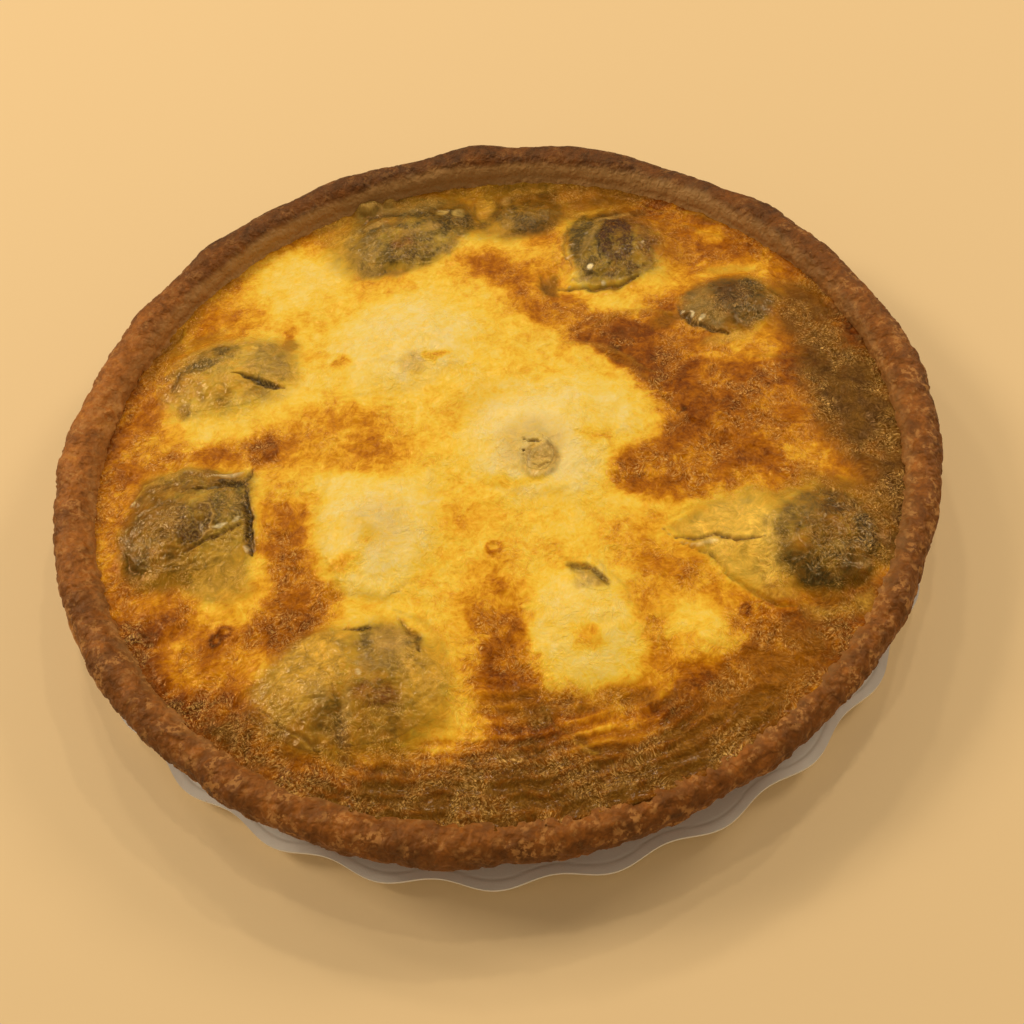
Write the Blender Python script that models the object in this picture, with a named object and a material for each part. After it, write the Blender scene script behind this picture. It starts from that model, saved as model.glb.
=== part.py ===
"""A baked custard tart with oysters set in its top, in a thick-rimmed pastry case on a scalloped card tray.

Frame: +Z up, the table at Z = 0, the tart's axis on Z, its front towards -Y. Driving sizes are in millimetres.
"""

import math

import bmesh
import bpy

MM = 0.001

# Pastry case: a flared wall that ends in a thick rounded rim.
RIM_REACH = 105.2  # widest radius of the rim
RIM_HALF = 4.65  # half the rim's thickness, on average
RIM_BACK = 0.7  # that half is this much more at the back, and less in front
RIM_LEFT = 0.35  # and this much more on the left, and less on the right
RIM_Z = 19.0  # height of the rim's middle
CASE_Z = 1.2  # underside of the case, just above the tray
CASE_BASE_RADIUS = 88.0
CASE_HEEL_RADIUS = 91.0  # where the round of the base turns into the wall
CASE_HEEL_Z = 2.9
FLOOR_Z = 4.8  # top of the pastry floor
FLOOR_RADIUS = 86.5
SIDES = 108  # round the tart
RIM_FIRST_DEGREES = -45  # the rim's roll, from its outside underneath
RIM_LAST_DEGREES = 180  # to the inner wall
RIM_STEPS = 8
RIM_GRAIN = 0.22  # small unevenness of the whole rim

# Where the rim bulges out or is pinched in: (degrees round from +X, swell, width in degrees).
RIM_SWELLS = (
    (-130, -0.6, 9),
    (-103, 0.5, 16),
    (-60, -0.8, 16),
    (-36, -0.4, 10),
    (-5, 1.3, 12),
    (6, 0.6, 4),
    (34, 0.9, 5),
    (48, -1.4, 8),
    (69, 0.8, 4),
    (85, 0.8, 6),
    (97, -1.3, 5),
    (133, 0.9, 4),
    (162, -0.3, 8),
    (178, 1.2, 3),
)

# Custard: it meets the case level with the rim in front and lower at the back.
EDGE_Z = 19.3
EDGE_SLOPE = 0.0318  # fall per millimetre towards the back
CROWN = 1.2  # how far the middle stands over the edge
CROWN_RADIUS = 96.0
DISC_RINGS = SIDES // 6
CASE_GAP = 0.45  # between the custard and the case
SIDE_DEPTHS = (0.12, 0.25, 0.5, 1.0)  # rings down the custard's side, as shares of its depth

# Risen mounds: (x, y, half length, half width, height).
MOUNDS = {
    "centre": (15, -7, 28, 24, 2.6),
    "back_centre": (-18, 31, 24, 20, 2.4),
    "mid_left": (-28, -28, 19, 21, 2.4),
    "front": (16, -59, 18, 19, 2.4),
    "front_small": (40, -65, 10, 10, 1.2),
    "back": (-15, 75, 25, 18, 2.4),
    "back_small": (18, 77, 13, 11, 1.0),
    "back_right": (40, 57, 23, 20, 2.6),
    "right": (66, 29, 18, 15, 2.0),
    "left_back": (-66, 30, 24, 20, 2.2),
    "left": (-72, -17, 21, 19, 2.2),
    "front_left": (-35, -66, 28, 20, 2.4),
    "front_right": (69, -45, 19, 19, 2.2),
    "front_right_wedge": (52, -44, 17, 13, 1.4),
    "right_swell": (62, 0, 30, 22, 1.2),
}

# Oysters that show: (x, y, half length, half width, turn in degrees, rise over the custard, depth, ruffle).
OYSTERS = {
    "oyster_back": (-14, 74.5, 20.5, 15, 0, 1.1, 4.0, 0.07),
    "oyster_back_small": (19, 76, 10, 8, 10, 0.7, 3.0, 0.05),
    "oyster_back_right": (40, 56.5, 18, 17, 35, 1.2, 4.5, 0.05),
    "oyster_right": (66.5, 28.5, 14.5, 12, 20, 1.0, 4.0, 0.04),
    "oyster_left_back": (-66, 29.5, 20.5, 15.5, 0, 1.0, 4.0, 0.05),
    "oyster_left": (-72, -17, 18.5, 17, 0, 1.2, 4.5, 0.06),
    "oyster_front_left": (-36, -66.5, 24, 15.5, -8, 1.1, 4.5, 0.05),
    "oyster_front_right": (68, -46, 13.5, 14.5, -30, 1.1, 4.5, 0.04),
    "oyster_tip_centre": (11, -13.5, 5.2, 6.6, 0, 0.6, 3.0, 0.06),
    "oyster_tip_front": (18, -49.5, 6.5, 3.8, -45, 0.4, 2.5, 0.0),
}
TUCK = 1.2  # how deep an oyster's edge is tucked under the custard
POCKET_GAP = 0.35
OYSTER_SIDES = 18
OYSTER_ROWS = 8
TIP_SIDES = 12
TIP_ROWS = 6
TIP_LENGTH = 10.0  # a piece under this half length gets the coarser rows
RUFFLE_LOBES = (3, 7)

# Card tray: flat in the middle, with a raised flared edge cut in scallops.
TRAY_CARD = 0.9
TRAY_FLAT_RADIUS = 91.0
TRAY_BEND_RADIUS = 94.5
TRAY_BEND_RISE = 0.9
TRAY_NOTCH_RADIUS = 104.4
TRAY_LOBE_RADIUS = 106.5
TRAY_EDGE_Z = 5.3
SCALLOPS = 28
SCALLOP_SIDES = 6
FIRST_NOTCH = math.radians(-89.4)

SHARP_ANGLE = math.radians(50)


def clear_scene():
    for thing in list(bpy.data.objects):
        bpy.data.objects.remove(thing, do_unlink=True)


def linear(red, green, blue):
    """A colour given in 0-255 screen values, as Blender's linear values."""
    shares = [value / 255 for value in (red, green, blue)]
    return [s / 12.92 if s <= 0.04045 else ((s + 0.055) / 1.055) ** 2.4 for s in shares]


def finish(name, colour, roughness, metallic=0.0):
    made = bpy.data.materials.new(name)
    made.use_nodes = True
    shader = made.node_tree.nodes["Principled BSDF"]
    shader.inputs["Base Color"].default_value = (*colour, 1.0)
    shader.inputs["Roughness"].default_value = roughness
    shader.inputs["Metallic"].default_value = metallic
    return made


def new_object(name, shape, material):
    """The bmesh shape, closed and facing out, as a smooth-shaded object."""
    bmesh.ops.recalc_face_normals(shape, faces=shape.faces)
    mesh = bpy.data.meshes.new(name)
    shape.to_mesh(mesh)
    shape.free()
    mesh.materials.append(material)
    mesh.shade_smooth()
    mesh.set_sharp_from_angle(angle=SHARP_ANGLE)
    made = bpy.data.objects.new(name, mesh)
    bpy.context.scene.collection.objects.link(made)
    return made


def add_ring(shape, points):
    return [shape.verts.new([value * MM for value in point]) for point in points]


def join_rings(shape, first, second):
    """Faces between two rings of points, where either ring may be a single point."""
    count = max(len(first), len(second))
    for i in range(count):
        j = (i + 1) % count
        corners = [first[i % len(first)], first[j % len(first)]]
        corners += [second[j % len(second)], second[i % len(second)]]
        shape.faces.new(dict.fromkeys(corners))


def body_of_rings(name, rings, material):
    """One closed body through rings of points, with flat caps on the end rings."""
    shape = bmesh.new()
    rows = [add_ring(shape, ring) for ring in rings]
    for first, second in zip(rows, rows[1:]):
        join_rings(shape, first, second)
    for end in (rows[0], rows[-1]):
        if len(end) > 1:
            shape.faces.new(end)
    return new_object(name, shape, material)


def around(count):
    return [math.tau * i / count for i in range(count)]


def polar(radius, angle, z):
    return (radius * math.cos(angle), radius * math.sin(angle), z)


# Pastry case


def rim_unevenness(angle):
    """How far the rim's outside stands out from, or back from, a true circle."""
    uneven = RIM_GRAIN * (math.sin(17 * angle + 1) + math.sin(29 * angle + 2))
    for degrees, swell, width in RIM_SWELLS:
        away = (math.degrees(angle) - degrees + 180) % 360 - 180
        uneven += swell * math.exp(-((away / width) ** 2))
    return uneven


def rim_half(angle):
    """Half the rim's thickness. A swell makes the rim thicker and higher, and leaves its inside where it is."""
    leaning = RIM_BACK * math.sin(angle) - RIM_LEFT * math.cos(angle)
    return RIM_HALF + leaning + rim_unevenness(angle) / 2


def rim_ring_radius(angle):
    """Radius of the rim's middle line."""
    return RIM_REACH + rim_unevenness(angle) - rim_half(angle)


def inner_wall(angle, z):
    """Radius of the case's inner face at a height: the rim's roll above its middle, the flared wall below."""
    ring, half = rim_ring_radius(angle), rim_half(angle)
    if z > RIM_Z:
        return ring - math.sqrt(max(half**2 - (z - RIM_Z) ** 2, 0))
    share = (z - FLOOR_Z) / (RIM_Z - FLOOR_Z)
    return FLOOR_RADIUS + (ring - half - FLOOR_RADIUS) * share**0.8


def rim_arc_ring(degrees):
    turn = math.radians(degrees)
    ring = []
    for angle in around(SIDES):
        half = rim_half(angle)
        radius = rim_ring_radius(angle) + half * math.cos(turn)
        ring.append(polar(radius, angle, RIM_Z + half * math.sin(turn)))
    return ring


def round_ring(radius, z):
    return [polar(radius, angle, z) for angle in around(SIDES)]


def make_case(material):
    arc = [
        RIM_FIRST_DEGREES + (RIM_LAST_DEGREES - RIM_FIRST_DEGREES) * i / RIM_STEPS
        for i in range(RIM_STEPS + 1)
    ]
    mid_z = (FLOOR_Z + RIM_Z) / 2
    rings = [round_ring(CASE_BASE_RADIUS, CASE_Z), round_ring(CASE_HEEL_RADIUS, CASE_HEEL_Z)]
    rings += [rim_arc_ring(degrees) for degrees in arc]
    rings.append([polar(inner_wall(angle, mid_z), angle, mid_z) for angle in around(SIDES)])
    rings.append(round_ring(FLOOR_RADIUS, FLOOR_Z))
    return body_of_rings("pastry_case", rings, material)


# Custard


def custard_z(x, y):
    """Height of the custard's top, without the pockets that hold the oysters."""
    z = EDGE_Z - EDGE_SLOPE * y + CROWN * (1 - (x * x + y * y) / CROWN_RADIUS**2)
    for mound_x, mound_y, half_length, half_width, height in MOUNDS.values():
        away = ((x - mound_x) / half_length) ** 2 + ((y - mound_y) / half_width) ** 2
        z += height * max(1 - away, 0) ** 2
    return z


def custard_edge(angle):
    """Radius and height of the custard's edge, on the case's inner face."""
    z = EDGE_Z
    for _ in range(4):  # the height depends on the radius, and the other way round
        radius = inner_wall(angle, z) - CASE_GAP
        z = custard_z(radius * math.cos(angle), radius * math.sin(angle))
    return radius, z


def top_rings(shape):
    """The custard's top as rings of 6, 12, 18... points, all about the same distance apart."""
    rows = [add_ring(shape, [(0, 0, custard_z(0, 0))])]
    for ring in range(1, DISC_RINGS + 1):
        points = []
        for angle in around(6 * ring):
            radius = custard_edge(angle)[0] * ring / DISC_RINGS
            x, y, _ = polar(radius, angle, 0)
            points.append((x, y, custard_z(x, y)))
        rows.append(add_ring(shape, points))
    return rows


def join_top_rings(shape, rows):
    for ring in range(1, len(rows)):
        outer, inner = rows[ring], rows[ring - 1]
        for sector in range(6):
            for i in range(ring):
                a = outer[sector * ring + i]
                b = outer[(sector * ring + i + 1) % len(outer)]
                c = inner[(sector * (ring - 1) + i) % len(inner)]
                shape.faces.new((a, b, c))
                if i < ring - 1:
                    d = inner[(sector * (ring - 1) + i + 1) % len(inner)]
                    shape.faces.new((b, d, c))


def make_custard(material):
    shape = bmesh.new()
    rows = top_rings(shape)
    join_top_rings(shape, rows)
    bottom = FLOOR_Z + CASE_GAP
    last = rows[-1]
    for depth in SIDE_DEPTHS:
        points = []
        for angle in around(SIDES):
            z = custard_edge(angle)[1] * (1 - depth) + bottom * depth
            points.append(polar(inner_wall(angle, z) - CASE_GAP, angle, z))
        ring = add_ring(shape, points)
        join_rings(shape, last, ring)
        last = ring
    shape.faces.new(last)
    return new_object("custard", shape, material)


# Oysters


def oyster_rings(piece, grow=0.0):
    """Rings of a flat pebble whose upper side follows the custard, its edge tucked in. grow swells it all round."""
    x, y, half_length, half_width, turn, rise, depth, ruffle = piece
    small = half_length < TIP_LENGTH
    sides, rows = (TIP_SIDES, TIP_ROWS) if small else (OYSTER_SIDES, OYSTER_ROWS)
    turn = math.radians(turn)
    rings = []
    for row in range(rows + 1):
        tilt = math.pi * row / rows
        reach = math.sin(tilt)
        height = (rise + TUCK if row * 2 <= rows else depth) + grow
        ring = []
        for angle in around(sides):
            wave = 1 + ruffle * sum(math.sin(lobes * angle + x) for lobes in RUFFLE_LOBES) / 2
            along = (half_length + grow) * wave * reach * math.cos(angle)
            across = (half_width + grow) * wave * reach * math.sin(angle)
            px = x + along * math.cos(turn) - across * math.sin(turn)
            py = y + along * math.sin(turn) + across * math.cos(turn)
            ring.append((px, py, custard_z(px, py) - TUCK + height * math.cos(tilt)))
        rings.append(ring if 0 < row < rows else ring[:1])
    return rings


def make_oysters(custard, material):
    """Each oyster, and the pocket that it sits in, cut from the custard."""
    pockets = bpy.data.collections.new("pockets")
    bpy.context.scene.collection.children.link(pockets)
    for name, piece in OYSTERS.items():
        body_of_rings(name, oyster_rings(piece), material)
        cutter = body_of_rings(f"pocket_{name}", oyster_rings(piece, POCKET_GAP), material)
        cutter.hide_render = True
        cutter.display_type = "WIRE"
        bpy.context.scene.collection.objects.unlink(cutter)
        pockets.objects.link(cutter)
    cut = custard.modifiers.new("pockets", "BOOLEAN")
    cut.operation = "DIFFERENCE"
    cut.operand_type = "COLLECTION"
    cut.collection = pockets


# Card tray


def scallop_radius(angle):
    middle = (TRAY_NOTCH_RADIUS + TRAY_LOBE_RADIUS) / 2
    wave = (TRAY_LOBE_RADIUS - TRAY_NOTCH_RADIUS) / 2
    return middle - wave * math.cos(SCALLOPS * (angle - FIRST_NOTCH))


def make_tray(material):
    turns = [FIRST_NOTCH + angle for angle in around(SCALLOPS * SCALLOP_SIDES)]
    profile = (
        (TRAY_FLAT_RADIUS, 0),
        (TRAY_BEND_RADIUS, TRAY_BEND_RISE),
        (None, TRAY_EDGE_Z - TRAY_CARD),
        (None, TRAY_EDGE_Z),
        (TRAY_BEND_RADIUS - TRAY_CARD / 2, TRAY_BEND_RISE + TRAY_CARD),
        (TRAY_FLAT_RADIUS - TRAY_CARD / 2, TRAY_CARD),
    )
    rings = [[polar(radius or scallop_radius(turn), turn, z) for turn in turns] for radius, z in profile]
    return body_of_rings("card_tray", rings, material)


clear_scene()
make_case(finish("baked_pastry", linear(150, 94, 46), 0.62))
custard_body = make_custard(finish("baked_custard", linear(226, 164, 52), 0.32))
make_oysters(custard_body, finish("oyster", linear(118, 108, 66), 0.3))
make_tray(finish("white_card", linear(232, 226, 218), 0.45))
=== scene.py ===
# A baked custard tart with oysters set in its top, in its pastry case, on a scalloped card tray.
# The plan of the tart is in millimetres, x to its right and y to its back. Blender's own lengths are in metres.
import itertools
import math
from collections import namedtuple

import bmesh
import bpy
import numpy as np
from mathutils import Matrix, Vector


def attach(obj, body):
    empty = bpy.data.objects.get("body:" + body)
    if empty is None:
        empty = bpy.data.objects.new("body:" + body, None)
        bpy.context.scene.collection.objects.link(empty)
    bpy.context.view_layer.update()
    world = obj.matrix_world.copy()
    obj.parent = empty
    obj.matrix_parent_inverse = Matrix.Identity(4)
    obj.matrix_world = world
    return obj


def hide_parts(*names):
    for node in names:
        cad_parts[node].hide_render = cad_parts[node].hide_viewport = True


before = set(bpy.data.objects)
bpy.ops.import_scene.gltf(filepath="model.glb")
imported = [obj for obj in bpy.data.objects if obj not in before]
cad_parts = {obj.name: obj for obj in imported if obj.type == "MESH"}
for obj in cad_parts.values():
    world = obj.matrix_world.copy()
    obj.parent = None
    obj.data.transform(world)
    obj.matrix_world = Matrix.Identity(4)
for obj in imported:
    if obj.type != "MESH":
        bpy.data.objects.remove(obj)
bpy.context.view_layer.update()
print("frame loaded")

mm = 0.001

# The forms that the solids have too
tart = {
    "rimReach": 105.2,  # widest radius of the rim
    "rimHalf": 4.65,
    "rimBack": 0.7,
    "rimLeft": 0.35,
    "rimZ": 19.0,
    "rimGrain": 0.22,
    "rimWaves": ((17, 1), (29, 2)),
    "caseZ": 1.2,
    "caseBaseRadius": 88.0,
    "caseHeelRadius": 91.0,
    "caseHeelZ": 2.9,
    "floorZ": 4.8,
    "floorRadius": 86.5,
    "wallCurve": 0.8,
    "edgeZ": 19.3,
    "edgeSlope": 0.0318,
    "crown": 1.2,
    "crownRadius": 96.0,
    "tuck": 1.2,  # how deep the custard hides an oyster's widest outline
    "ruffleLobes": (3, 7),
}

# Bulges and pinches of the rim: degrees round from +x, swell, width in degrees
rimSwells = (
    (-130, -0.6, 9), (-103, 0.5, 16), (-60, -0.8, 16), (-36, -0.4, 10), (-5, 1.3, 12),
    (6, 0.6, 4), (34, 0.9, 5), (48, -1.4, 8), (69, 0.8, 4), (85, 0.8, 6), (97, -1.3, 5),
    (133, 0.9, 4), (162, -0.3, 8), (178, 1.2, 3),
)

# Risen mounds of the custard: x, y, half length, half width, height
mounds = {
    "centre": (15, -7, 28, 24, 2.6),
    "backCentre": (-18, 31, 24, 20, 2.4),
    "midLeft": (-28, -28, 19, 21, 2.4),
    "front": (16, -59, 18, 19, 2.4),
    "frontSmall": (40, -65, 10, 10, 1.2),
    "back": (-15, 75, 25, 18, 2.4),
    "backSmall": (18, 77, 13, 11, 1.0),
    "backRight": (40, 57, 23, 20, 2.6),
    "right": (66, 29, 18, 15, 2.0),
    "leftBack": (-66, 30, 24, 20, 2.2),
    "left": (-72, -17, 21, 19, 2.2),
    "frontLeft": (-35, -66, 28, 20, 2.4),
    "frontRight": (69, -45, 19, 19, 2.2),
    "frontRightWedge": (52, -44, 17, 13, 1.4),
    "rightSwell": (62, 0, 30, 22, 1.2),
}

# An oyster's turn is in degrees. Its gills stand out by a share, and they can be longer round it than across.
Oyster = namedtuple("Oyster", "x y halfLength halfWidth turn rise depth ruffle gills gillStretch")
oysters = {
    "oyster_back": Oyster(-14, 74.5, 20.5, 15, 0, 1.1, 4.0, 0.07, 0.34, 0.8),
    "oyster_back_small": Oyster(19, 76, 10, 8, 10, 0.7, 3.0, 0.05, 0.3, 0.8),
    "oyster_back_right": Oyster(40, 56.5, 18, 17, 35, 1.2, 4.5, 0.05, 0.12, 0.6),
    "oyster_right": Oyster(66.5, 28.5, 14.5, 12, 20, 1.0, 4.0, 0.04, 0.1, 2),
    "oyster_left_back": Oyster(-66, 29.5, 20.5, 15.5, 0, 1.0, 4.0, 0.05, 0.4, 1),
    "oyster_left": Oyster(-72, -17, 18.5, 17, 0, 1.2, 4.5, 0.06, 0.5, 2.6),
    "oyster_front_left": Oyster(-36, -66.5, 24, 15.5, -8, 1.1, 4.5, 0.05, 0.4, 1.4),
    "oyster_front_right": Oyster(68, -46, 13.5, 14.5, -30, 1.1, 4.5, 0.04, 0.16, 1),
    "oyster_tip_centre": Oyster(11, -13.5, 5.2, 6.6, 0, 0.6, 3.0, 0.06, 0.4, 2),
    "oyster_tip_front": Oyster(18, -49.5, 6.5, 3.8, -45, 0.4, 2.5, 0.0, 0.0, 1),
}


# Degrees from a direction, between -180 and 180
def degreesFrom(angle, degrees):
    return (np.degrees(angle) - degrees + 180) % 360 - 180


# A smooth peak: 1 at a ratio of 0, nearly 0 at 2 and -2
def bell(ratio):
    return np.exp(-(ratio**2))


# 0 below low, 1 above high, eased between
def rise(value, low, high):
    share = np.clip((value - low) / (high - low), 0, 1)
    return share * share * (3 - 2 * share)


# From low to 1 by a share
def fromLow(low, share):
    return low + (1 - low) * share


def rimUnevenness(angle):
    uneven = tart["rimGrain"] * sum(np.sin(count * angle + phase) for count, phase in tart["rimWaves"])
    for degrees, swell, width in rimSwells:
        uneven = uneven + swell * bell(degreesFrom(angle, degrees) / width)
    return uneven


def rimHalf(angle):
    leaning = tart["rimBack"] * np.sin(angle) - tart["rimLeft"] * np.cos(angle)
    return tart["rimHalf"] + leaning + rimUnevenness(angle) / 2


def rimRing(angle):
    return tart["rimReach"] + rimUnevenness(angle) - rimHalf(angle)


# Radius of the case's inner face: the roll of the rim above its middle, the flared wall below
def innerWall(angle, z):
    ring, half = rimRing(angle), rimHalf(angle)
    roll = ring - np.sqrt(np.maximum(half**2 - (z - tart["rimZ"]) ** 2, 0))
    share = np.clip((z - tart["floorZ"]) / (tart["rimZ"] - tart["floorZ"]), 0, 1)
    wall = tart["floorRadius"] + (ring - half - tart["floorRadius"]) * share ** tart["wallCurve"]
    return np.where(z > tart["rimZ"], roll, wall)


def custardZ(x, y):
    crown = 1 - (x * x + y * y) / tart["crownRadius"] ** 2
    z = tart["edgeZ"] - tart["edgeSlope"] * y + tart["crown"] * crown
    for moundX, moundY, halfLength, halfWidth, height in mounds.values():
        away = ((x - moundX) / halfLength) ** 2 + ((y - moundY) / halfWidth) ** 2
        z = z + height * np.maximum(1 - away, 0) ** 2
    return z


# Where a place is in a turned ellipse, along and across, as shares of its half axes
def inEllipse(x, y, midX, midY, halfLength, halfWidth, turn):
    turn = math.radians(turn)
    along = ((x - midX) * math.cos(turn) + (y - midY) * math.sin(turn)) / halfLength
    across = ((y - midY) * math.cos(turn) - (x - midX) * math.sin(turn)) / halfWidth
    return along, across


# How far out an oyster's ruffled outline is at an angle, as a share of its ellipse
def ruffledReach(angle, oyster):
    lobes = sum(np.sin(count * angle + oyster.x) for count in tart["ruffleLobes"])
    return 1 + oyster.ruffle * lobes / 2


# How far out a place is in an oyster, 0 at its middle and 1 at its widest outline, and its angle round it
def oysterPolar(x, y, oyster):
    along, across = inEllipse(x, y, *oyster[:5])
    angle = np.arctan2(across, along)
    return np.hypot(along, across) / ruffledReach(angle, oyster), angle


# The share where an oyster's top comes out of the custard
def shownShare(oyster):
    return math.sqrt(1 - (tart["tuck"] / (oyster.rise + tart["tuck"])) ** 2)


def middleReach(oyster):
    return (oyster.halfLength + oyster.halfWidth) / 2


# Points from their coordinates, each of them a row of numbers or one number for all
def points(x, y, z):
    return np.stack(np.broadcast_arrays(x, y, z), 1)


def roundPoints(radius, angle, z):
    return points(radius * np.cos(angle), radius * np.sin(angle), z)


# Noise of the script's own, so that it can shape meshes as well as colours
dice = np.random.RandomState(11)
shuffled = np.tile(dice.permutation(256), 2)
slopes = dice.normal(size=(256, 3))
slopes /= np.linalg.norm(slopes, axis=1)[:, None]
seedStep = 13.7  # how far apart the parts of the noise are that two seeds in a row give
noiseGain = 1.5


# Smooth noise from about -1 to 1 at places in millimetres, with features of a size in millimetres
def noise(places, size, seed):
    at = places / size + seed * seedStep
    cell = np.floor(at).astype(int)
    part = at - cell
    ease = part**3 * (part * (part * 6 - 15) + 10)
    total = np.zeros(len(places))
    for corner in itertools.product((0, 1), repeat=3):
        key = (cell + corner) & 255
        picked = shuffled[shuffled[shuffled[key[:, 0]] + key[:, 1]] + key[:, 2]]
        share = np.where(corner, ease, 1 - ease).prod(axis=1)
        total += share * ((part - corner) * slopes[picked]).sum(axis=1)
    return total * noiseGain


def clouds(places, size, seed, octaves=3):
    total = sum(noise(places, size / 2**i, seed + i) / 2**i for i in range(octaves))
    return total / (2 - 0.5 ** (octaves - 1))


# Sharp-crested folds from 0 to 1
def folds(places, size, seed, octaves=2):
    total = sum((1 - abs(noise(places, size / 2**i, seed + i))) ** 4 / 2**i for i in range(octaves))
    return total / (2 - 0.5 ** (octaves - 1))


foldMean = 0.45


# The same around 0, for the relief
def evenFolds(places, size, seed):
    return folds(places, size, seed) - foldMean


# Moves places about by noise, so that outlines wander: shift, size, octaves and a seed each for x and y
def wander(x, y, waves):
    flat = points(x, y, 0)
    for shift, size, octaves, seedX, seedY in waves:
        x = x + shift * clouds(flat, size, seedX, octaves)
        y = y + shift * clouds(flat, size, seedY, octaves)
    return x, y


# 1 inside an ellipse, 0 outside, with an edge that is softer the larger the number
def spot(x, y, midX, midY, halfLength, halfWidth, turn, edge):
    along, across = inEllipse(x, y, midX, midY, halfLength, halfWidth, turn)
    return rise(1 - np.hypot(along, across), -edge, edge)


# Flat rows x, y, x, y as places
def pairs(row):
    return list(zip(row[::2], row[1::2]))


# Distance to a line through places, and how far along it, from 0 to 1, the nearest place is
def nearLine(x, y, line):
    lengths = [math.dist(a, b) for a, b in zip(line, line[1:])]
    nearest, along = np.full(len(x), np.inf), np.zeros(len(x))
    for i, ((ax, ay), (bx, by)) in enumerate(zip(line, line[1:])):
        share = np.clip(((x - ax) * (bx - ax) + (y - ay) * (by - ay)) / lengths[i] ** 2, 0, 1)
        away = np.hypot(x - ax - share * (bx - ax), y - ay - share * (by - ay))
        closer = away < nearest
        nearest = np.where(closer, away, nearest)
        along = np.where(closer, (sum(lengths[:i]) + share * lengths[i]) / sum(lengths), along)
    return nearest, along


# 1 inside an outline, 0 outside, eased over a width at its edge
def inside(x, y, outline, soft):
    closed = (*outline, outline[0])
    away, _ = nearLine(x, y, closed)
    within = np.zeros(len(x), bool)
    for (ax, ay), (bx, by) in zip(closed, closed[1:]):
        if ay != by:
            within ^= ((ay > y) != (by > y)) & (x < ax + (y - ay) * (bx - ax) / (by - ay))
    return rise(np.where(within, away, -away), -soft, soft)


# A colour in 0-255 screen values, as Blender's linear values
def screen(red, green, blue):
    shares = [value / 255 for value in (red, green, blue)]
    return [s / 12.92 if s <= 0.04045 else ((s + 0.055) / 1.055) ** 2.4 for s in shares]


# Looks of the filling, custard and oysters alike

# From cream to dark brown; the palest cream is partly a painted sheen
bakeColours = (
    (0.0, (250, 231, 160)),
    (0.14, (251, 223, 118)),
    (0.28, (250, 212, 74)),
    (0.42, (238, 180, 46)),
    (0.54, (208, 139, 18)),
    (0.67, (170, 99, 4)),
    (0.83, (117, 53, 0)),
    (1.0, (66, 22, 0)),
)

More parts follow.
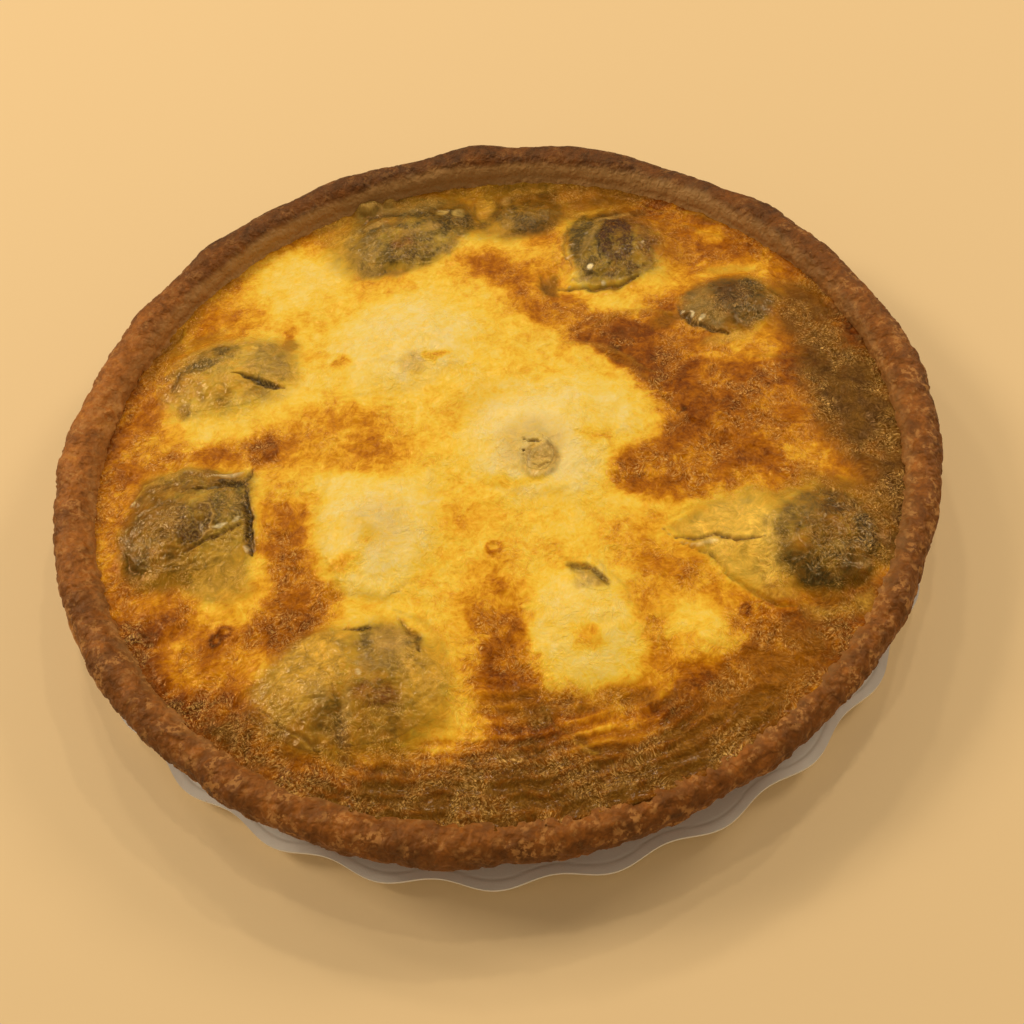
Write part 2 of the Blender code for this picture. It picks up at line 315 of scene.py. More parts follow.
# Browned and pale areas, painted in this order: softness of the edge, bake, then x and y of each of its corners
bakeZones = {
    "back": (
        (5, 0.4, -34, 62, -10, 58, 2, 60, 10, 62, 20, 66, 22, 58, 14, 52, 0, 54, -20, 55, -40, 52),
        (4, 0.53, -84, 50, -72, 63, -62, 61, -57, 54, -60, 46, -70, 45, -80, 42),
        (5, 0.14, -60, 72, -47, 77, -36, 68, -36, 56, -50, 52, -60, 60),
        (3.4, 0.66, 0, 62, 6, 64, 14, 60, 17, 52, 20, 40, 26, 34, 20, 30, 12, 38, 10, 48, 0, 54),
        (4, 0.68, 54, 76, 60, 72, 72, 62, 82, 52, 84, 44, 76, 42, 64, 42, 56, 46, 54, 60),
        (3, 0.8, 44, 84, 56, 78, 58, 70, 52, 66, 46, 74), (3, 0.5, 62, 42, 72, 45, 82, 44, 84, 38, 74, 38, 64, 38),
        (3, 0.54, 18, 70, 28, 72, 29, 60, 28, 48, 24, 40, 17, 42, 16, 56),
        (4, 0.56, 48, 30, 56, 42, 64, 44, 80, 42, 84, 30, 80, 14, 66, 8, 54, 12, 48, 20),
        (2, 0.4, 28, 39, 36, 40.5, 46, 42, 54, 46, 60, 45, 54, 40, 46, 37.5, 36, 36),
        (1.6, 0.36, 64, 41, 70, 43.6, 78, 42, 76, 39.6, 68, 39.6),
        (3, 0.68, 47, 36, 54, 34, 53.6, 24, 59, 16, 50, 12, 45, 24),
    ),
    "left": (
        (4, 0.64, -97, 18, -84, 18, -80, 26, -82, 38, -88, 46, -96, 34),
        (3, 0.24, -80, 21, -62, 18, -48, 22, -42, 28, -38, 20, -46, 14, -58, 8, -72, 9, -78, 12),
        (3, 0.46, -90, 10, -82, 11, -74, 7, -62, 6, -53, 9, -44, 14, -32, 13, -23, 8, -16, 0, -16, -9, -26, -13, -38,
         -11, -46, -6, -55, -5, -68, -1, -82, 1, -92, -4, -97, 2),
        (3, 0.66, -88, 5, -72, 5, -60, 4, -52, 7, -46, 4, -50, -3, -62, -2, -76, 1),
        (2, 0.82, -58, 3, -53, 4, -52, -2, -57, -3), (4, 0.46, -32, 8, -23, 4, -20, -6, -28, -9, -34, -4),
        (4, 0.66, -97, 20, -88, 12, -84, 2, -88, -6, -87, -20, -90, -34, -97, -24),
        (3, 0.46, -53, -7, -44, -9, -41, -18, -44, -26, -50, -18, -54, -15),
        (3, 0.72, -54, -17, -49, -15, -44, -24, -41, -36, -37, -43, -39, -50, -50, -54, -58, -48, -53, -42, -54, -30),
        (3, 0.8, -52, -44, -44, -46, -42, -52, -50, -56, -58, -51),
    ),
    "frontLeft": (
        (4, 0.77, -92, -34, -82, -36, -72, -40, -66, -48, -60, -52, -58, -66, -50, -78, -58, -80, -74, -66, -88, -48),
        (3, 0.56, -88, -36, -78, -34, -74, -38, -80, -42, -88, -41),
        (3, 0.38, -67, -36, -58, -33, -53, -38, -54, -45, -62, -47, -68, -45),
        (2.5, 0.52, -77, -48, -72, -46, -67, -48, -66, -53, -73, -54),
        (3, 0.54, -72, -56, -62, -53, -57, -59, -62, -63, -70, -62),
        (3, 0.93, -88, -44, -79, -46, -74, -60, -66, -68, -76, -70, -88, -54),
        (3, 0.98, -72, -62, -60, -66, -50, -78, -40, -84, -38, -92, -56, -82, -70, -70),
    ),
    "front": (
        (4, 0.83, -58, -80, -38, -84, -26, -84, -16, -84, -6, -80, 4, -78, 14, -77, 28, -75, 38, -74, 48, -72, 56,
         -66, 70, -60, 80, -60, 60, -84, 30, -98, -10, -101, -44, -92),
        (4, 1, -50, -86, -30, -87, -14, -88, 4, -88, 20, -88, 36, -86, 50, -80, 40, -94, 10, -101, -30, -97),
        (3, 0.36, -24, -64, -14, -57, -9, -62, -9, -72, -14, -80, -24, -80, -20, -72),
        (3, 0.73, -9, -48, -2, -44, 3, -54, 3, -66, 6, -76, 0, -80, -8, -77, -9, -64),
        (2.5, 0.86, 0, -74, 8, -76, 8, -81, 0, -81), (2.5, 0.6, 5, -80, 12, -77, 22, -79, 25, -84, 17, -88, 9, -87),
        (3, 0.54, 26, -52, 31, -50, 33, -60, 33, -72, 28, -76, 24, -72, 27, -62),
        (3.5, 0.56, 23, -40, 34, -41, 42, -47, 47, -57, 40, -58, 32, -53, 26, -48),
        (3, 0.84, 28, -77, 40, -74, 44, -78, 34, -84),
        (4, 0.8, 44, -62, 54, -60, 66, -64, 72, -60, 70, -70, 54, -78, 44, -74, 46, -68),
    ),
    "right": (
        (2, 0.72, 22, 25, 30, 19, 36, 11, 41, 2, 45, -7, 38, -14, 29, -17, 27, -23, 31, -28, 40, -31, 52, -29, 62,
         -25, 70, -18, 80, -14, 84, 4, 76, 9, 62, 8, 53, 13, 49, 24, 42, 31, 30, 33, 24, 31),
        (4, 0.8, 30, 24, 38, 14, 44, 4, 50, 8, 48, 22, 42, 28), (3, 0.74, 42, -4, 52, -2, 60, -8, 52, -12, 42, -9),
        (4, 0.66, 31, -17, 44, -16, 56, -20, 52, -27, 38, -28, 30, -24),
        (2.5, 0.52, 56, 15, 64, 17, 74, 15, 77, 10, 70, 7, 62, 9, 56, 12),
        (4, 0.7, 66, -2, 74, 0, 78, -8, 76, -20, 62, -22, 60, -14, 66, -12),
        (3, 0.68, 56, -26, 64, -22, 74, -24, 76, -31, 64, -31),
        (4, 0.9, 78, 24, 86, 32, 94, 22, 98, 0, 98, -30, 88, -38, 84, -34, 79, -18, 77, -4, 80, 10),
        (4, 1, 84, 4, 90, 8, 96, 0, 97, -16, 92, -24, 84, -20, 81, -8),
        (3, 0.95, 84, -38, 92, -30, 92, -44, 86, -54, 82, -50),
    ),
    # the pale tops of the mounds: the custard's paler skin, partly painted sheen
    "mounds": (
        (4, 0.1, -36, 40, -24, 50, -8, 47, 0, 38, 0, 27, -8, 20, -20, 15, -32, 18, -37, 28),
        (2.5, 0.14, -40, -10, -42, -22, -40, -35, -35, -43, -26, -45, -19, -41, -16, -33, -14, -20, -15, -13, -26,
         -14),
        (5, 0.08, -38, -22, -30, -16, -20, -20, -18, -32, -26, -38, -36, -34),
        (3, 0.16, -4, 2, 4, 10, 16, 14, 27, 11, 33, 5, 36, -4, 34, -12, 29, -15, 26, -20, 18, -25, 8, -25, 0, -21, -5,
         -14),
        (5, 0.02, -2, 0, 10, 6, 22, 2, 24, -10, 20, -20, 8, -22, 0, -16),
        (3, 0.16, 8, -46, 14, -44, 22, -51, 25, -61, 22, -71, 14, -75, 7, -71, 4, -62, 5, -52),
        (2.5, 0.26, 34, -70, 33, -62, 37, -57, 43, -60, 44, -68, 38, -72),
    ),
}

# Small ones, painted over them: x, y, half length, half width, turn, edge, bake
bakeSpots = (
    (-49, 41, 1.8, 5, 0, 0.6, 0.5), (-35, 27, 2.4, 2, 30, 0.6, 0.48), (-10, 24.6, 3.2, 1.4, 20, 0.6, 0.5),
    (-22, 58, 9, 2.5, 0, 0.6, 0.42), (18, 60, 6, 3, 0, 0.6, 0.42), (-9, -28, 4, 5, 0, 0.7, 0.42),
    (0, -40, 5, 3.4, 0, 0.6, 0.44), (8, -39, 6, 2, 10, 0.6, 0.42), (-30, -31, 3, 2, 30, 0.7, 0.24),
    (-36, -36, 4, 2.5, 0, 0.7, 0.4), (15, -64, 3.4, 3, 0, 0.6, 0.42), (26, -10, 4.4, 3, -20, 0.8, 0.32),
    (4, -20, 6, 1.6, -10, 0.6, 0.32), (47, -4.5, 0.9, 0.8, 0, 0.5, 1), (-28, -2, 4, 3, 0, 0.6, 0.54),
    (12, -42, 12, 2.4, 0, 0.6, 0.38), (-6, -50, 8, 4, 0, 0.7, 0.48), (-62, -68, 6, 3, -20, 0.5, 0.84),
    (28, -76, 2.6, 1.8, 10, 0.5, 0.5), (24, 36, 6, 5, 0, 0.7, 0.66), (22, 16, 6, 4, 0, 0.7, 0.34),
    (31, -35, 7, 4, 0, 0.7, 0.44), (70, 57, 5, 3, -35, 0.6, 0.5), (50, 71, 7, 4, 20, 0.5, 0.78),
    (-16, 90, 16, 3, 0, 0.5, 0.6), (14, 90, 12, 3, 0, 0.5, 0.5), (36, 84, 8, 4, 0, 0.6, 0.7),
)

# Colours of the flesh; (255, 240, 196) is a painted highlight, used for the glints on wet places
fleshColours = {
    "greyGreen": (72, 58, 22), "ash": (150, 122, 62), "olive": (150, 112, 26), "gold": (210, 164, 54),
    "sage": (86, 72, 30), "khaki": (104, 73, 16), "amber": (156, 86, 6), "moss": (60, 46, 8), "beige": (190, 152, 80),
    "black": (26, 12, 2), "plum": (64, 31, 20), "rust": (116, 62, 6), "pearl": (226, 194, 108), "umber": (76, 42, 6),
    "cream": (244, 204, 92), "dusk": (50, 19, 5), "violet": (112, 78, 46), "deep": (48, 34, 8),
    "glaze": (126, 86, 16), "straw": (196, 156, 58), "paintedHighlight": (255, 240, 196),
}

# Tinted areas, painted first: softness of the edge, colour, amount, then x and y of each of its corners
fleshZones = {
    "edges": (
        (4, "dusk", 0.85, 80, 10, 88, 16, 95, 4, 98, -14, 95, -34, 86, -36, 80, -24, 77, -10, 78, 0),
        (4, "umber", 0.6, 76, 20, 84, 34, 92, 30, 90, 12, 80, 10),
        (3, "dusk", 0.9, 84, -34, 95, -28, 93, -50, 84, -58, 80, -54, 84, -46),
        (3, "glaze", 0.6, -88, 34, -80, 48, -74, 54, -78, 44, -84, 30),
        (2.5, "glaze", 0.5, -76, 66, -50, 84, -38, 86, -50, 79, -72, 58, -84, 44),
    ),
    "back": (
        (3, "straw", 0.8, -42, 84, -37, 66, -31, 60, -24, 62, -24, 88, -34, 90),
        (3, "glaze", 0.8, -6, 94, 20, 95, 48, 86, 54, 76, 46, 70, 28, 70, 14, 66, 4, 70, 0, 84),
        (2.5, "deep", 0.75, 10, 92, 28, 90, 30, 76, 26, 67, 14, 68, 9, 76),
        (1.6, "sage", 0.97, -33, 68, -32, 80, -30, 90, -22, 94, -10, 93, 0, 90, 5, 82, 4, 73, -4, 64, -12, 60, -20,
         58, -28, 60),
        (2, "ash", 0.6, -30, 60, -24, 58, -22, 66, -26, 76, -31, 72),
        (1.6, "umber", 0.55, -19, 74, -10, 73, -8, 64, -14, 62, -21, 65),
        (1.6, "deep", 0.8, -12, 88, -4, 86, 4, 80, 4, 74, -4, 72, -11, 79),
    ),
    "backRight": (
        (2.6, "deep", 0.95, 29, 50, 29, 66, 34, 73, 45, 72, 51, 67, 54, 56, 51, 46, 44, 42.5, 35, 41.5, 30, 45),
        (5, "amber", 0.55, 46, 70, 57, 66, 60, 50, 53, 44, 47, 54),
        (1, "greyGreen", 0.9, 29.5, 50, 30, 66, 36, 72, 37.5, 66, 35.5, 58, 36, 50, 33, 46),
        (0.8, "plum", 1, 38, 51, 37, 60, 41, 67, 46, 68, 47.5, 59, 45, 50, 41, 48),
        (1.4, "umber", 0.5, 36, 48, 45, 49, 52, 46, 46, 42.5, 37, 42.5),
    ),
    "right": (
        (2, "greyGreen", 0.92, 54, 27, 55, 33, 60, 37, 70, 38.4, 78, 35.5, 81, 29, 76, 21.5, 70, 18, 63, 17.6, 57,
         21.5),
        (1.6, "ash", 0.8, 55, 28, 57, 34, 62, 35, 62, 28, 65, 22, 62, 19, 58, 22),
        (2.8, "deep", 0.75, 63, 36, 74, 37.4, 79, 31, 76, 24, 70, 20, 66, 22, 64, 27),
        (1.2, "umber", 0.85, 64, 33, 70, 34, 73, 30, 69, 26, 64, 27),
        (3, "umber", 0.55, 80, 36, 90, 32, 90, 22, 80, 21),
    ),
    "leftBack": (
        (3, "straw", 0.75, -82, 24, -80, 36, -70, 42, -56, 40, -47, 38, -46, 24, -52, 18, -66, 15, -78, 17),
        (2.4, "greyGreen", 0.65, -78, 30, -72, 38, -64, 39, -62, 33, -70, 29),
        (2, "ash", 0.75, -58, 38, -49, 38, -48, 24, -54, 25, -60, 28),
    ),
    "left": (
        (2.2, "khaki", 0.92, -86, -8, -84, -2, -77, -0.6, -70, -2, -60, -4, -57, -6, -57, -16, -56, -27, -60, -38,
         -70, -37, -82, -34, -87, -28, -88, -18),
        (1, "glaze", 0.9, -84, -3, -77, -1, -70, -2.4, -60, -5, -60, -8, -71, -9, -82, -8),
        (2.4, "glaze", 0.7, -80, -11, -72, -12, -71, -27, -76, -26, -80, -20),
        (1.2, "umber", 0.85, -72.5, -14, -66.5, -13.6, -65, -19, -67, -26, -71, -27, -74, -21),
        (1, "greyGreen", 0.95, -66, -10.5, -60, -9.5, -58.4, -13, -58.4, -20, -64.6, -21, -65.4, -15),
        (1.4, "straw", 0.88, -68, -26.4, -62, -23.6, -58.6, -21.6, -58.4, -31, -56, -39, -62, -42, -70, -38, -70,
         -30),
        (1.6, "moss", 0.75, -88, -24, -82, -24, -79, -29, -82, -33, -87, -31),
    ),
    "frontLeft": (
        (3.4, "olive", 0.8, -56, -64, -48, -55, -40, -51.5, -28, -52, -20, -58, -15, -66, -16, -78, -24, -84, -38,
         -82, -50, -76),
        (2.4, "straw", 0.85, -55, -64, -47, -55, -38, -52.5, -36, -60, -40, -70, -50, -73),
        (2.4, "gold", 0.9, -50, -62, -46, -56, -40, -53, -34, -54, -35, -62, -42, -69),
        (1.6, "ash", 0.9, -32, -53.5, -23, -53, -20.6, -57, -20, -64, -27, -66, -32, -63),
        (2.4, "gold", 0.9, -24, -61, -17, -58, -14, -68, -17, -76, -24, -72),
        (4, "glaze", 0.5, -35, -67, -30, -65, -23, -70, -22, -78, -28, -84, -34, -76),
    ),
    "frontRight": (
        (0.9, "straw", 0.75, 37, -38, 46, -33, 58, -30, 64, -34, 62, -46, 60, -60, 54, -60, 50, -56.6, 45, -49.6, 41,
         -44),
        (1.8, "cream", 0.85, 40, -38.6, 50, -34, 58, -33, 60, -42, 58, -54, 52, -57, 47, -50),
        (2.4, "glaze", 0.85, 62, -34, 70, -28, 82, -32, 86, -42, 80, -40, 70, -37),
        (2.2, "deep", 0.9, 58, -43, 63, -37, 71, -34, 79, -36, 84.4, -43, 83.4, -52, 76, -59, 66, -61.5, 60, -58, 57,
         -50),
        (2, "ash", 0.4, 59, -44, 64, -37, 70, -36, 70, -41, 63, -47),
        (2, "moss", 0.8, 59, -50, 64, -50, 74, -54, 74, -59, 66, -61, 60, -57),
        (2, "straw", 0.8, 58, -60, 66, -63, 76, -61, 74, -66, 62, -66),
    ),
}

# Small tinted areas, and painted highlights on wet places: x, y, half length, half width, turn, edge, colour, amount
fleshSpots = {
    "back": (
        (-15, 87, 13, 3.6, 3, 0.4, "ash", 0.8), (-22, 84.4, 6, 1.5, -20, 0.3, "black", 0.75),
        (-24, 79.6, 3.4, 2, 10, 0.4, "beige", 0.7), (-16, 69.5, 3.2, 1.6, 15, 0.3, "rust", 0.8),
        (-4.6, 82, 1.6, 1.4, 0, 0.4, "pearl", 0.7), (-0.4, 81, 1.7, 1.8, 0, 0.4, "pearl", 0.6),
        (-8, 74.5, 3.4, 1.8, 20, 0.4, "beige", 0.5), (-13, 72.5, 3, 1.2, 0, 0.4, "beige", 0.4),
        (-20, 76, 1.2, 4, 10, 0.4, "ash", 0.5), (-3.5, 66.5, 2.4, 2, 40, 0.4, "ash", 0.5),
        (8.4, 84, 3, 4.8, -14, 0.6, "gold", 0.7), (6.4, 75, 3, 1.6, 0, 0.4, "moss", 0.7),
        (14, 90, 26, 3, -3, 0.4, "olive", 0.6), (-31, 75, 3, 9, 0, 0.4, "straw", 0.6),
        (20, 72, 5, 3, 0, 0.4, "moss", 0.7), (15, 84, 1.4, 3, 0, 0.5, "beige", 0.5),
        (26, 76, 3, 1.6, 0, 0.5, "ash", 0.6), (28, 84, 2, 3, 20, 0.5, "umber", 0.6),
        (12, 73, 4, 3, 0, 0.5, "gold", 0.4), (40, 78, 7, 3, -10, 0.5, "umber", 0.5),
    ),
    "backRight": (
        (35, 58.5, 1.3, 8.6, -26, 0.35, "ash", 0.85), (51, 70.4, 2.6, 2.4, 0, 0.3, "plum", 0.8),
        (44, 69, 5.6, 1.1, 14, 0.4, "beige", 0.6), (37.5, 74, 5, 1.3, 6, 0.35, "gold", 0.8),
        (30.5, 45.4, 3, 0.8, 4, 0.4, "beige", 0.6), (22, 45, 2.2, 4.4, -14, 0.4, "umber", 0.85),
        (51.6, 58, 3, 6, -10, 0.4, "umber", 0.5), (33.6, 48.4, 0.8, 0.9, 0, 0.3, "paintedHighlight", 1),
        (36, 42.6, 0.6, 0.7, 20, 0.3, "paintedHighlight", 1), (28.3, 45.3, 0.4, 0.5, 0, 0.4, "paintedHighlight", 0.8),
        (26.9, 43.8, 0.4, 0.5, 0, 0.4, "paintedHighlight", 0.8), (29, 53.6, 1.1, 0.4, 20, 0.4, "paintedHighlight", 0.5),
    ),
    "right": (
        (64, 16.4, 7, 1.6, 6, 0.5, "cream", 0.6), (50, 26, 4, 2.6, 20, 0.5, "umber", 0.6),
        (70, 42, 7, 1.6, -8, 0.5, "gold", 0.6), (54.8, 27.2, 0.5, 0.5, 0, 0.3, "paintedHighlight", 1),
        (56.2, 25.4, 0.4, 1, 10, 0.3, "paintedHighlight", 0.9), (58.8, 23.7, 0.9, 0.5, 30, 0.3, "paintedHighlight", 0.9),
        (57.6, 33.6, 0.8, 1.4, 30, 0.4, "deep", 0.6),
    ),
    "leftBack": (
        (-71.6, 31.6, 4.6, 2.2, 6, 0.4, "moss", 0.8), (-67, 36.4, 2.2, 2.6, 10, 0.4, "moss", 0.75),
        (-62.5, 36.4, 1.6, 2.4, 20, 0.4, "deep", 0.5), (-58, 36.6, 1.2, 1.2, 0, 0.4, "cream", 0.6),
        (-77.5, 28, 1.4, 3.6, -30, 0.4, "umber", 0.7), (-75.5, 18, 1.8, 2.4, 10, 0.4, "glaze", 0.7),
        (-65, 20, 2.8, 2.6, 0, 0.5, "glaze", 0.6), (-71, 22.6, 1.4, 3, 10, 0.4, "glaze", 0.6),
        (-48.5, 37, 2, 2.6, 0, 0.4, "glaze", 0.8), (-56, 20.6, 3, 1.6, -20, 0.5, "glaze", 0.5),
        (-47, 27, 0.8, 4.5, 0, 0.4, "cream", 0.6), (-62, 23.6, 5, 1.4, -8, 0.5, "gold", 0.5),
        (-53.4, 22.6, 3.4, 1.2, -22, 0.35, "black", 0.95), (-76, 43, 10, 2.4, 20, 0.5, "glaze", 0.6),
        (-80, 31, 2.2, 1.6, 30, 0.5, "umber", 0.5),
    ),
    "left": (
        (-68.4, -22.5, 2.2, 2.2, 0, 0.4, "black", 0.35), (-74, -31.5, 8, 3.2, 0, 0.4, "olive", 0.7),
        (-82, -22.6, 3, 1.6, 0, 0.5, "ash", 0.5), (-61, -15, 1.6, 2.6, 0, 0.5, "ash", 0.45),
        (-61.4, -8.4, 3.4, 1.4, -14, 0.3, "black", 0.85), (-57, -24, 1.3, 4.4, 4, 0.25, "black", 0.95),
        (-57.8, -15, 0.9, 5, 4, 0.3, "black", 0.75), (-63.6, -20.9, 1.4, 0.35, 6, 0.3, "paintedHighlight", 1),
        (-60, -19.9, 1.2, 0.3, 35, 0.3, "paintedHighlight", 0.8), (-66.4, -8.9, 1.1, 0.25, 0, 0.3, "paintedHighlight", 1),
        # the violet spot at -56.8, -19.6 is a painted glint
        (-57.6, -26.6, 0.3, 1.1, 8, 0.3, "paintedHighlight", 0.9), (-56.8, -19.6, 0.6, 1.1, 10, 0.4, "violet", 0.8),
        (-86, -9.2, 0.8, 0.9, 0, 0.4, "paintedHighlight", 0.7), (-78, -3.6, 4, 0.9, 8, 0.5, "straw", 0.6),
    ),
    "frontLeft": (
        (-30.4, -58, 0.9, 4.6, 14, 0.4, "deep", 0.4), (-26, -57, 3, 3.6, 14, 0.5, "beige", 0.8),
        (-29.6, -69.6, 4.4, 3.4, -8, 0.35, "rust", 1), (-39, -73, 3, 5, 14, 0.6, "deep", 0.7),
        (-41, -67, 2.2, 3.6, 14, 0.5, "ash", 0.5), (-35, -71.5, 1.1, 5, -6, 0.4, "beige", 0.6),
        (-36.2, -78.6, 1.4, 4.6, 2, 0.4, "violet", 0.75), (-32.6, -64.6, 0.6, 0.6, 0, 0.4, "paintedHighlight", 0.7),
        (-48, -75, 9, 1.6, -34, 0.5, "glaze", 0.6), (-21, -57, 0.9, 3.6, 26, 0.4, "umber", 0.4),
        (-27, -74, 4, 5, 10, 0.7, "umber", 0.35), (-33, -52.8, 2.2, 0.8, -10, 0.35, "black", 0.85),
    ),
    "frontRight": (
        (67.6, -46, 4.4, 3.4, 0, 0.5, "umber", 0.6), (78.5, -48, 3.2, 5.4, -8, 0.4, "deep", 0.8),
        (74, -41, 5, 2, 10, 0.4, "umber", 0.6), (54.6, -56.6, 1.6, 0.8, 0, 0.4, "glaze", 0.8),
        (71, -50, 2, 1.4, 30, 0.4, "ash", 0.6), (76, -55, 2, 1.4, -30, 0.4, "ash", 0.5),
    ),
    "tips": (
        (-16.6, 22.4, 3, 3.4, 0, 0.4, "pearl", 0.75), (-18, 21.6, 0.7, 1.6, 10, 0.5, "paintedHighlight", 0.6),
        (-14.4, 23.4, 1.6, 0.6, -30, 0.5, "paintedHighlight", 0.5), (-27, -27, 6, 6, 0, 0.8, "pearl", 0.35),
        (0, 8, 9, 5, 20, 0.8, "pearl", 0.2), (10, -10, 7, 7, -30, 0.6, "pearl", 0.6),
        (11.6, -15.6, 4.4, 4.4, 0, 0.25, "beige", 0.85), (12, -17.4, 3, 2, 0, 0.4, "pearl", 0.6),
        (14.6, -13.6, 0.8, 2.6, 20, 0.5, "ash", 0.7), (9.6, -18.6, 1.6, 0.4, -30, 0.4, "paintedHighlight", 0.8),
        (13.4, -19.6, 1.3, 0.4, 20, 0.4, "paintedHighlight", 0.7), (8.6, -15.6, 0.5, 1, 0, 0.4, "paintedHighlight", 0.6),
        (17.4, -47.6, 5.2, 2.2, -44, 0.2, "glaze", 0.95), (16.6, -49.8, 2.6, 1.8, -20, 0.4, "pearl", 0.85),
    ),
    "front": (
        (0, -92, 60, 8, 0, 0.5, "dusk", 0.4), (10, -76, 22, 3, -6, 0.5, "glaze", 0.4),
        (52, -74, 14, 6, 30, 0.6, "amber", 0.5), (-54, -76, 12, 6, -35, 0.5, "dusk", 0.25),
        (40, -84, 16, 5, 20, 0.6, "amber", 0.45), (2, -78, 5, 2, 0, 0.5, "umber", 0.4),
    ),
}

